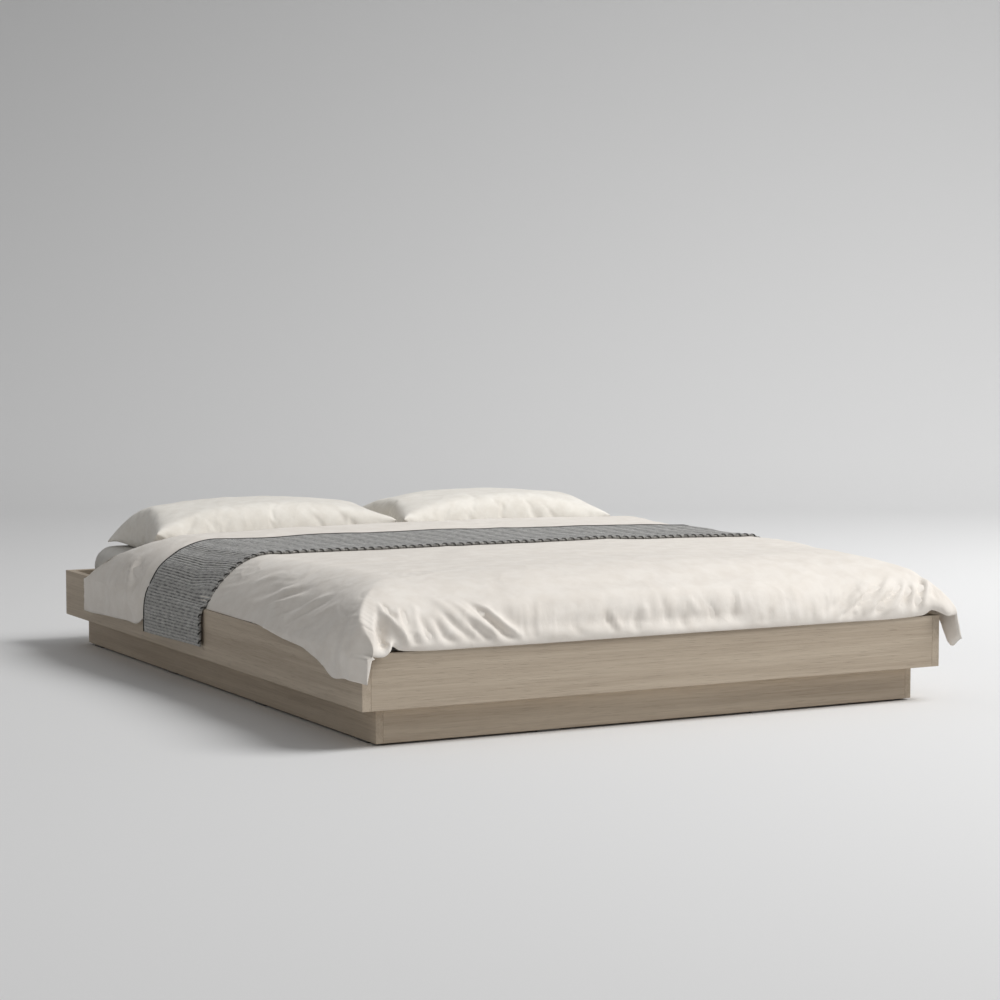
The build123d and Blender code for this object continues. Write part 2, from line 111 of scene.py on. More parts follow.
def rimOf(rows, cols, first=0):
    # the border of a grid as one loop of indices, from its first corner along the first row
    ids = first + np.arange(rows * cols).reshape(rows, cols)
    return np.concatenate([ids[0, :-1], ids[:-1, -1], ids[-1, :0:-1], ids[:0:-1, 0]])


def closedShell(outer, inner, step):
    # outer grid, coarser inner grid of every step-th point, and a strip of triangles between their rims
    rows, cols = outer.shape[:2]
    inRows, inCols = inner.shape[:2]
    first = rows * cols
    outRim, inRim = rimOf(rows, cols), rimOf(inRows, inCols, first)
    faces = gridFaces(rows, cols).tolist() + gridFaces(inRows, inCols, first, flip=True).tolist()
    for k, base in enumerate(inRim):
        following = inRim[(k + 1) % len(inRim)]
        for n in range(step):
            a, b = outRim[k * step + n], outRim[(k * step + n + 1) % len(outRim)]
            pivot = base if n < (step + 1) // 2 else following
            faces.append((int(b), int(a), int(pivot)))
            if n == (step + 1) // 2 - 1:
                faces.append((int(b), int(base), int(following)))
    points = np.concatenate([outer.reshape(-1, 3), inner.reshape(-1, 3)])
    return points, faces


def coarse(grid, step):
    # every step-th row and column
    return grid[::step, ::step]


def makePiece(name, points, faces, material, uv=None):
    # an object at the origin with its places in its mesh; uv has a row for each point, in metres
    mesh = bpy.data.meshes.new(name)
    mesh.from_pydata(np.asarray(points, float).tolist(), [], [tuple(map(int, f)) for f in faces])
    if uv is not None:
        layer = mesh.uv_layers.new(name="Cloth")
        at = np.empty(len(mesh.loops), np.int32)
        mesh.loops.foreach_get("vertex_index", at)
        layer.data.foreach_set("uv", np.asarray(uv, np.float32)[at].ravel())
    mesh.polygons.foreach_set("use_smooth", np.ones(len(mesh.polygons), bool))
    mesh.materials.append(material)
    mesh.update()
    piece = bpy.data.objects.new(name, mesh)
    bpy.context.scene.collection.objects.link(piece)
    return piece


def placed(piece, slot, *stoodFor):
    # the bed is one body, so every piece rides on its root
    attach(piece, "root")
    if stoodFor:
        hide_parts(*stoodFor)
    return piece


# Shader helpers

def addNode(tree, kind, sockets=None, **settings):
    made = tree.nodes.new(kind)
    for key, value in settings.items():
        setattr(made, key, value)
    for key, value in (sockets or {}).items():
        if isinstance(value, bpy.types.NodeSocket):
            tree.links.new(value, made.inputs[key])
        else:
            made.inputs[key].default_value = value
    return made


def newGroup(name, inputs, outputs):
    group = bpy.data.node_groups.new(name, "ShaderNodeTree")
    for label, kind, value in inputs:
        socket = group.interface.new_socket(name=label, in_out="INPUT", socket_type=kind)
        if value is not None:
            socket.default_value = value
    for label, kind in outputs:
        group.interface.new_socket(name=label, in_out="OUTPUT", socket_type=kind)
    entry, leave = group.nodes.new("NodeGroupInput"), group.nodes.new("NodeGroupOutput")
    return group, entry.outputs, leave.inputs


def useGroup(tree, group, **sockets):
    # an underscore in a keyword stands for the space in its socket's name
    made = tree.nodes.new("ShaderNodeGroup")
    made.node_tree = group
    for key, value in sockets.items():
        label = key.replace("_", " ")
        if isinstance(value, bpy.types.NodeSocket):
            tree.links.new(value, made.inputs[label])
        else:
            made.inputs[label].default_value = value
    return made.outputs


def maths(tree, operation, a, b=0.0, clamp=False):
    return addNode(tree, "ShaderNodeMath", {0: a, 1: b}, operation=operation, use_clamp=clamp).outputs[0]


def ranged(tree, value, fromLow, fromHigh, toLow, toHigh):
    sockets = {"Value": value, "From Min": fromLow, "From Max": fromHigh, "To Min": toLow, "To Max": toHigh}
    return addNode(tree, "ShaderNodeMapRange", sockets).outputs["Result"]


def blended(tree, share, a, b):
    # a Mix node's inputs 0, 6 and 7 are its share and its two colours, and output 2 is the colour
    made = tree.nodes.new("ShaderNodeMix")
    made.data_type = "RGBA"
    for index, value in ((0, share), (6, a), (7, b)):
        if isinstance(value, bpy.types.NodeSocket):
            tree.links.new(value, made.inputs[index])
        else:
            made.inputs[index].default_value = value
    return made.outputs[2]


def newMaterial(name):
    material = bpy.data.materials.new(name)
    material.use_nodes = True
    tree = material.node_tree
    shader = next(n for n in tree.nodes if n.type == "BSDF_PRINCIPLED")
    return material, tree, shader


def linear(red, green, blue):
    # screen values 0 to 255 to linear light: ((c + 0.055) / 1.055) ^ 2.4
    return tuple(((c / 255 + 0.055) / 1.055) ** 2.4 for c in (red, green, blue)) + (1.0,)


# Grain: long soft streaks, finer fibres and short dark pores, all stretched along the board
grainShape = {
    "streaks": (0.9, 30.0, 30.0), "fibres": (5.0, 260.0, 260.0), "pores": (22.0, 620.0, 620.0),
    "poreFrom": 0.60, "poreTo": 0.70, "streakShare": 0.62, "fibreShare": 0.38, "toneFrom": 0.36,
    "toneTo": 0.64, "roughFrom": 0.52, "roughTo": 0.66, "fibreRelief": 0.5,
}


def makeGrainGroup():
    shape = grainShape
    color, number, vector = "NodeSocketColor", "NodeSocketFloat", "NodeSocketVector"
    group, given, out = newGroup(
        "boardGrain",
        [("Vector", vector, None), ("Pale", color, None), ("Dark", color, None), ("Pore", color, None),
         ("Pore Share", number, 0.5), ("Streaks", number, 1.0)],
        [("Color", color), ("Roughness", number), ("Height", number)],
    )
    streaks = addNode(group, "ShaderNodeMapping", {"Vector": given["Vector"], "Scale": shape["streaks"]})
    broad = addNode(group, "ShaderNodeTexNoise", {
        "Vector": streaks.outputs[0], "Scale": 1.0, "Detail": 4.0, "Roughness": 0.55, "Distortion": 0.4})
    fibres = addNode(group, "ShaderNodeMapping", {"Vector": given["Vector"], "Scale": shape["fibres"]})
    fine = addNode(group, "ShaderNodeTexNoise", {
        "Vector": fibres.outputs[0], "Scale": 1.0, "Detail": 3.0, "Roughness": 0.6})
    pores = addNode(group, "ShaderNodeMapping", {"Vector": given["Vector"], "Scale": shape["pores"]})
    dots = addNode(group, "ShaderNodeTexNoise", {
        "Vector": pores.outputs[0], "Scale": 1.0, "Detail": 1.0, "Roughness": 0.4})
    poreMask = ranged(group, dots.outputs["Fac"], shape["poreFrom"], shape["poreTo"], 0.0, 1.0)
    tone = maths(group, "ADD", maths(group, "MULTIPLY", broad.outputs["Fac"], shape["streakShare"]),
                 maths(group, "MULTIPLY", fine.outputs["Fac"], shape["fibreShare"]))
    spread = ranged(group, tone, shape["toneFrom"], shape["toneTo"], 0.0, 1.0)
    strong = maths(group, "MULTIPLY", spread, given["Streaks"], clamp=True)
    body = blended(group, strong, given["Pale"], given["Dark"])
    poreShare = maths(group, "MULTIPLY", poreMask, given["Pore Share"])
    whole = blended(group, poreShare, body, given["Pore"])
    group.links.new(whole, out["Color"])
    rough = ranged(group, tone, 0.3, 0.7, shape["roughFrom"], shape["roughTo"])
    group.links.new(rough, out["Roughness"])
    raised = maths(group, "MULTIPLY", fine.outputs["Fac"], shape["fibreRelief"])
    group.links.new(maths(group, "SUBTRACT", raised, poreMask), out["Height"])
    return group


# Crease: soft wrinkles of two sizes, narrow ridges where the noise crosses its middle
creaseShape = {"ridgeWidth": 0.12, "ridgeShare": 0.5, "fineShare": 0.5}


def makeCreaseGroup():
    number, vector = "NodeSocketFloat", "NodeSocketVector"
    group, given, out = newGroup(
        "clothCrease",
        [("Vector", vector, None), ("Scale", number, 5.0), ("Fine Scale", number, 26.0)],
        [("Height", number), ("Tone", number)],
    )
    wide = addNode(group, "ShaderNodeTexNoise", {
        "Vector": given["Vector"], "Scale": given["Scale"], "Detail": 2.0, "Roughness": 0.45,
        "Distortion": 0.6})
    ridge = maths(group, "ABSOLUTE", maths(group, "SUBTRACT", wide.outputs["Fac"], 0.5))
    crest = ranged(group, ridge, 0.0, creaseShape["ridgeWidth"], 1.0, 0.0)
    small = addNode(group, "ShaderNodeTexNoise", {
        "Vector": given["Vector"], "Scale": given["Fine Scale"], "Detail": 3.0, "Roughness": 0.55,
        "Distortion": 0.3})
    ridges = maths(group, "MULTIPLY", crest, creaseShape["ridgeShare"])
    fine = maths(group, "MULTIPLY", small.outputs["Fac"], creaseShape["fineShare"])
    group.links.new(maths(group, "ADD", ridges, fine), out["Height"])
    group.links.new(small.outputs["Fac"], out["Tone"])
    return group


# Weave: crossed threads, a soft checker made by the product of two sine waves
def makeWeaveGroup():
    number, vector = "NodeSocketFloat", "NodeSocketVector"
    group, given, out = newGroup(
        "plainWeave",
        [("Vector", vector, None), ("Threads", number, 900.0)],
        [("Height", number)],
    )
    waves = []
    for direction in ("X", "Y"):
        wave = addNode(group, "ShaderNodeTexWave", {
            "Vector": given["Vector"], "Scale": given["Threads"], "Distortion": 0.6, "Detail": 1.0,
            "Detail Scale": 1.5}, bands_direction=direction)
        waves.append(wave.outputs["Fac"])
    group.links.new(maths(group, "MULTIPLY", waves[0], waves[1]), out["Height"])
    return group


grainGroup = makeGrainGroup()
creaseGroup = makeCreaseGroup()
weaveGroup = makeWeaveGroup()

# Boards of the rails and the plinth, greige limed oak; the inner timbers are plainer
timber = {
    "limed": {"pale": (195, 181, 162), "dark": (169, 154, 136), "pore": (132, 119, 103),
              "poreShare": 0.22, "streaks": 0.9},
    "pine": {"pale": (214, 190, 150), "dark": (188, 156, 112), "pore": (168, 134, 92),
             "poreShare": 0.2, "streaks": 1.0},
    "birch": {"pale": (222, 200, 164), "dark": (206, 180, 142), "pore": (182, 152, 114),
              "poreShare": 0.15, "streaks": 0.8},
    "bump": 0.0006, "bumpStrength": 0.5, "gloss": 0.3,
    "shiftStart": (0.0, 0.21, 0.0), "shiftStep": (0.37, 0.13, 0.11),
}


def timberMaterial(name, kind, along, offset):
    # along turns the board's length on to the grain's own X axis; offset gives each board its own grain
    material, tree, shader = newMaterial(name)
    wood = timber[kind]
    turn = {"x": (0.0, 0.0, 0.0), "y": (0.0, 0.0, math.pi / 2), "z": (0.0, math.pi / 2, 0.0)}[along]
    source = addNode(tree, "ShaderNodeTexCoord")
    place = addNode(tree, "ShaderNodeMapping", {
        "Vector": source.outputs["Object"], "Location": offset, "Rotation": turn})
    grain = useGroup(tree, grainGroup, Vector=place.outputs[0], Pale=linear(*wood["pale"]),
                     Dark=linear(*wood["dark"]), Pore=linear(*wood["pore"]),
                     Pore_Share=wood["poreShare"], Streaks=wood["streaks"])
    tree.links.new(grain["Color"], shader.inputs["Base Color"])
    tree.links.new(grain["Roughness"], shader.inputs["Roughness"])
    bump = addNode(tree, "ShaderNodeBump", {
        "Height": grain["Height"], "Distance": timber["bump"], "Strength": timber["bumpStrength"]})
    tree.links.new(bump.outputs[0], shader.inputs["Normal"])
    shader.inputs["Specular IOR Level"].default_value = timber["gloss"]
    return material


def dress(material, *names):
    for name in names:
        mesh = nodes[name].data
        mesh.materials.clear()
        mesh.materials.append(material)


boardSets = {
    "x": ("foot_rail", "head_rail", "plinth_foot", "plinth_head"),
    "y": ("side_rail_left", "side_rail_right", "plinth_side_left", "plinth_side_right"),
}
for along, names in boardSets.items():
    for index, name in enumerate(names):
        shift = tuple(a + b * index for a, b in zip(timber["shiftStart"], timber["shiftStep"]))
        dress(timberMaterial(f"limed_{name}", "limed", along, shift), name)
dress(timberMaterial("pineAcross", "pine", "x", (0, 0, 0)), "ledger_foot", "ledger_head",
      "plinth_cross_foot", "plinth_cross_head", "beam_bearer_foot", "beam_bearer_head")
dress(timberMaterial("pineAlong", "pine", "y", (0.2, 0.1, 0)), "ledger_left", "ledger_right",
      "centre_beam", "ledger_cleats")
dress(timberMaterial("pineUpright", "pine", "z", (0.1, 0.3, 0)), "plinth_glue_blocks")
slatNames = [name for name in nodes if name.startswith("slat_") and "holders" not in name]
dress(timberMaterial("birchSlat", "birch", "x", (0, 0, 0)), *slatNames)
print("timber done")

# Metal, plastic and felt
hardware = {
    "zincPlate": {"color": (176, 178, 180), "spread": 0.06, "rough": 0.34, "metallic": 1.0, "scale": 60,
                  "relief": 0.0001},
    "screwSteel": {"color": (150, 150, 148), "spread": 0.08, "rough": 0.3, "metallic": 1.0, "scale": 200,
                   "relief": 0.00005},
    "mouldedCap": {"color": (46, 46, 48), "spread": 0.08, "rough": 0.55, "metallic": 0.0, "scale": 320,
                   "relief": 0.0001},
    "feltPad": {"color": (92, 90, 88), "spread": 0.25, "rough": 0.95, "metallic": 0.0, "scale": 700,
                "relief": 0.0008},
}
hardwareNodes = {
    "zincPlate": [f"corner_bracket_{end}_{side}" for end in ("foot", "head") for side in ("left", "right")],
    "screwSteel": ("corner_bracket_screws", "centre_foot_stem"),
    "mouldedCap": ("slat_holders_left", "slat_holders_right", "centre_foot_pad"),
    "feltPad": ("beam_felt", "plinth_glides"),
}


speckle = {"greys": (0.3, 0.7), "dullest": 1.15, "glossiest": 0.85, "bumpStrength": 0.4}


def speckled(name, color, spread, rough, metallic, scale, relief):
    # one colour broken up by fine noise, which also moves the roughness and a slight relief
    material, tree, shader = newMaterial(name)
    source = addNode(tree, "ShaderNodeTexCoord")
    noise = addNode(tree, "ShaderNodeTexNoise", {
        "Vector": source.outputs["Object"], "Scale": scale, "Detail": 4.0, "Roughness": 0.6})
    low = linear(*[c * (1 - spread) for c in color])
    high = linear(*[min(255, c * (1 + spread)) for c in color])
    grey = noise.outputs["Fac"]
    tree.links.new(blended(tree, grey, low, high), shader.inputs["Base Color"])
    least, most = rough * speckle["glossiest"], min(1.0, rough * speckle["dullest"])
    tree.links.new(ranged(tree, grey, *speckle["greys"], least, most), shader.inputs["Roughness"])
    bump = addNode(tree, "ShaderNodeBump", {
        "Height": grey, "Distance": relief, "Strength": speckle["bumpStrength"]})
    tree.links.new(bump.outputs[0], shader.inputs["Normal"])
    shader.inputs["Metallic"].default_value = metallic
    return material


for name, values in hardware.items():
    dress(speckled(name, **values), *hardwareNodes[name])
print("hardware done")


# Cloth: base colour varied by the creases, a light sheen, weave and creases in the relief. A piece's
# creases are the scales of the wide and the fine ones, and their depth
clothFinish = {
    "threads": 500.0, "tones": (0.35, 0.65), "creaseStrength": 0.6, "weaveDepth": 0.0003,
    "weaveStrength": 0.25, "roughness": 0.85, "sheenRoughness": 0.6, "gloss": 0.25,
}


def clothMaterial(name, piece):
    material, tree, shader = newMaterial(name)
    source = addNode(tree, "ShaderNodeTexCoord")
    where = source.outputs["Object"]
    creaseScale, fineScale, creaseDepth = piece["creases"]
    crease = useGroup(tree, creaseGroup, Vector=where, Scale=creaseScale, Fine_Scale=fineScale)
    weave = useGroup(tree, weaveGroup, Vector=where, Threads=clothFinish["threads"])
    tone = ranged(tree, crease["Tone"], *clothFinish["tones"], 0.0, 1.0)
    base = blended(tree, tone, linear(*piece["color"]), linear(*piece["shade"]))
    tree.links.new(base, shader.inputs["Base Color"])
    first = addNode(tree, "ShaderNodeBump", {
        "Height": crease["Height"], "Distance": creaseDepth, "Strength": clothFinish["creaseStrength"]})
    second = addNode(tree, "ShaderNodeBump", {
        "Height": weave["Height"], "Distance": clothFinish["weaveDepth"],
        "Strength": clothFinish["weaveStrength"], "Normal": first.outputs[0]})
    tree.links.new(second.outputs[0], shader.inputs["Normal"])
    shader.inputs["Roughness"].default_value = clothFinish["roughness"]
    shader.inputs["Sheen Weight"].default_value = piece["sheen"]
    shader.inputs["Sheen Roughness"].default_value = clothFinish["sheenRoughness"]
    shader.inputs["Specular IOR Level"].default_value = clothFinish["gloss"]
    return material


# Mattress: rounded box, each profile point carried round a rounded rectangle
mattress = {
    "ring": 176, "cornerRadius": 0.062, "edgeRadius": 0.054, "lowerRollShare": 0.4, "leastRadius": 0.004,
    "seam": ((0.004, 0.070), (0.0, 0.066)), "flatRings": 14, "middleGap": 0.01,
    "color": (232, 230, 226), "shade": (222, 220, 216), "creases": (6, 40, 0.001), "sheen": 0.1,
}


def roundedRing(halfX, halfY, radius, middleY, count):
    # points spaced evenly round a rectangle whose corners are quarter circles of the radius
    radius = np.minimum(radius, np.minimum(halfX, halfY))
    straightX, straightY = 2 * (halfX - radius), 2 * (halfY - radius)
    arc = math.pi / 2 * radius
    lengths = np.array([straightX, arc, straightY, arc, straightX, arc, straightY, arc])
    ends = np.concatenate([[0], np.cumsum(lengths)])
    at = np.arange(count) / count * ends[-1]
    leg = np.clip(np.searchsorted(ends, at, side="right") - 1, 0, 7)
    share = (at - ends[leg]) / np.maximum(lengths[leg], 1e-9)
    corner = leg // 2
    cx = np.array([1, 1, -1, -1])[corner] * (halfX - radius)
    cy = np.array([-1, 1, 1, -1])[corner] * (halfY - radius)
    startAngle = -math.pi / 2 + corner * math.pi / 2
    angle = startAngle + share * math.pi / 2
    xs = cx + radius * np.cos(angle)
    ys = cy + radius * np.sin(angle)
    straight = leg % 2 == 0
    fromX = np.array([-1, 1, 1, -1])[corner] * (halfX - radius * np.array([1, 0, 1, 0])[corner])
    fromY = np.array([-1, -1, 1, 1])[corner] * (halfY - radius * np.array([0, 1, 0, 1])[corner])
    stepX = np.array([1, 0, -1, 0])[corner] * straightX
    stepY = np.array([0, 1, 0, -1])[corner] * straightY
    xs = np.where(straight, fromX + stepX * share, xs)
    ys = np.where(straight, fromY + stepY * share, ys)
    return xs, ys + middleY


def lathed(profile, halfX, halfY, cornerRadius, middleY, count):
    # profile rows are (inset from the outline, height); each is a ring of the outline drawn in by the inset
    leastRadius = mattress["leastRadius"]
    rings = []
    for inset, height in profile:
        radius = max(cornerRadius - inset, leastRadius)
        xs, ys = roundedRing(halfX - inset, halfY - inset, radius, middleY, count)
        rings.append(np.stack([xs, ys, np.full(count, height)], axis=1))
    return np.stack(rings)


def ringFaces(rows, count):
    # quads from each ring to the next, where a ring's last point is followed by its first
    i, j = np.meshgrid(np.arange(rows - 1), np.arange(count), indexing="ij")
    a, b = i * count + j, i * count + (j + 1) % count
    return np.stack([a, b, b + count, a + count], axis=-1).reshape(-1, 4)


def roll(radius, top, count=9):
    # quarter circle from the side up on to the top
    angle = np.linspace(0, math.pi / 2, count)
    return [(radius * (1 - math.cos(a)), top - radius + radius * math.sin(a)) for a in angle]


low, high = mattressBox
halfX, halfY, middleY = (high.x - low.x) / 2, (high.y - low.y) / 2, (high.y + low.y) / 2
upperRoll = roll(mattress["edgeRadius"], high.z)
lowerRadius = mattress["edgeRadius"] * mattress["lowerRollShare"]
lowerRoll = [(inset, low.z + high.z - z) for inset, z in reversed(roll(lowerRadius, high.z))]
innerEnd = halfX - mattress["middleGap"]
flatInsets = np.linspace(mattress["edgeRadius"], innerEnd, mattress["flatRings"])[1:]
seam = [(inset, high.z - drop) for inset, drop in mattress["seam"]]
profile = [(inset, low.z) for inset in flatInsets[::-1]] + lowerRoll + seam + upperRoll
profile += [(inset, high.z) for inset in flatInsets]
rings = lathed(profile, halfX, halfY, mattress["cornerRadius"], middleY, mattress["ring"])
rows, count = rings.shape[:2]
points = np.concatenate([rings.reshape(-1, 3), [[0, middleY, low.z], [0, middleY, high.z]]])
faces = ringFaces(rows, count).tolist()
last = (rows - 1) * count
faces += [((j + 1) % count, j, rows * count) for j in range(count)]
faces += [(last + j, last + (j + 1) % count, rows * count + 1) for j in range(count)]
mattressPiece = makePiece("mattressPad", points, faces, clothMaterial("mattressTicking", mattress))
placed(mattressPiece, "mattress_ticking", "mattress")

# Fitted sheet: the same outline a little larger, open below, its hem drawn in under the mattress
fittedSheet = {
    "ring": 352, "thickness": 0.001, "rollRows": 11, "sideRows": 9, "flatRows": 60,
    "hemRows": ((0.012, -0.0002), (0.002, 0.0008)), "sideStart": 0.004,
    "pull": 0.0022, "pullCount": 5, "pullReach": (0.03, 0.28), "pullEnd": 0.05, "pullTwist": 7,
    "pullStep": 0.1, "pullOffset": 0.02, "pullShare": 0.5, "pullUp": 0.6,
    "flat": (1.86, 2.36), "notch": 0.17,
    "color": (208, 205, 199), "shade": (198, 195, 189), "creases": (7, 34, 0.0015), "sheen": 0.15,
}
grow = fittedSheet["thickness"]
sheetRoll = roll(mattress["edgeRadius"] + grow, sheetTop, fittedSheet["rollRows"])
sideHeights = np.linspace(low.z + fittedSheet["sideStart"], sheetTop - mattress["edgeRadius"] - grow,
                          fittedSheet["sideRows"])[:-1]
sheetInsets = np.linspace(mattress["edgeRadius"], innerEnd, fittedSheet["flatRows"])[1:]
sheetProfile = [(inset, low.z + height) for inset, height in fittedSheet["hemRows"]]
sheetProfile += [(0.0, z) for z in sideHeights] + sheetRoll + [(inset, sheetTop) for inset in sheetInsets]
sheetRings = lathed(sheetProfile, halfX + grow, halfY + grow, mattress["cornerRadius"], middleY,
                    fittedSheet["ring"])


def pulledFolds(rings, spec):
    # waves that fan out of each corner and fade along the sides: sine of the angle round the corner
    x, y, z = rings[..., 0], rings[..., 1] - middleY, rings[..., 2]
    away = np.hypot(halfX - np.abs(x), halfY - np.abs(y))
    off = spec["pullOffset"]
    around = np.arctan2(halfY - np.abs(y) + off, halfX - np.abs(x) + off)
    wave = np.sin(around * 2 * spec["pullCount"] + spec["pullTwist"] * (sheetTop - z) / spec["pullStep"])
    fade = (1 - smooth(*spec["pullReach"], away)) * smooth(low.z, low.z + spec["pullEnd"], z)
    return -spec["pull"] * np.abs(wave) * fade


shift = pulledFolds(sheetRings, fittedSheet)
outward = np.stack([sheetRings[..., 0] / halfX, (sheetRings[..., 1] - middleY) / halfY,
                    np.ones_like(shift) * fittedSheet["pullUp"]], axis=-1)
outward /= np.linalg.norm(outward, axis=-1, keepdims=True)
sheetRings = sheetRings + outward * (shift * fittedSheet["pullShare"])[..., None]
rows, count = sheetRings.shape[:2]
points = np.concatenate([sheetRings.reshape(-1, 3), [[0, middleY, sheetTop]]])
faces = ringFaces(rows, count).tolist()
last = (rows - 1) * count
faces += [(last + j, last + (j + 1) % count, rows * count) for j in range(count)]
sheetPiece = makePiece("fittedSheet", points, faces, clothMaterial("sheetCotton", fittedSheet))
placed(sheetPiece, "sheet_cotton", "fitted_sheet")
print("mattress and fitted sheet done")

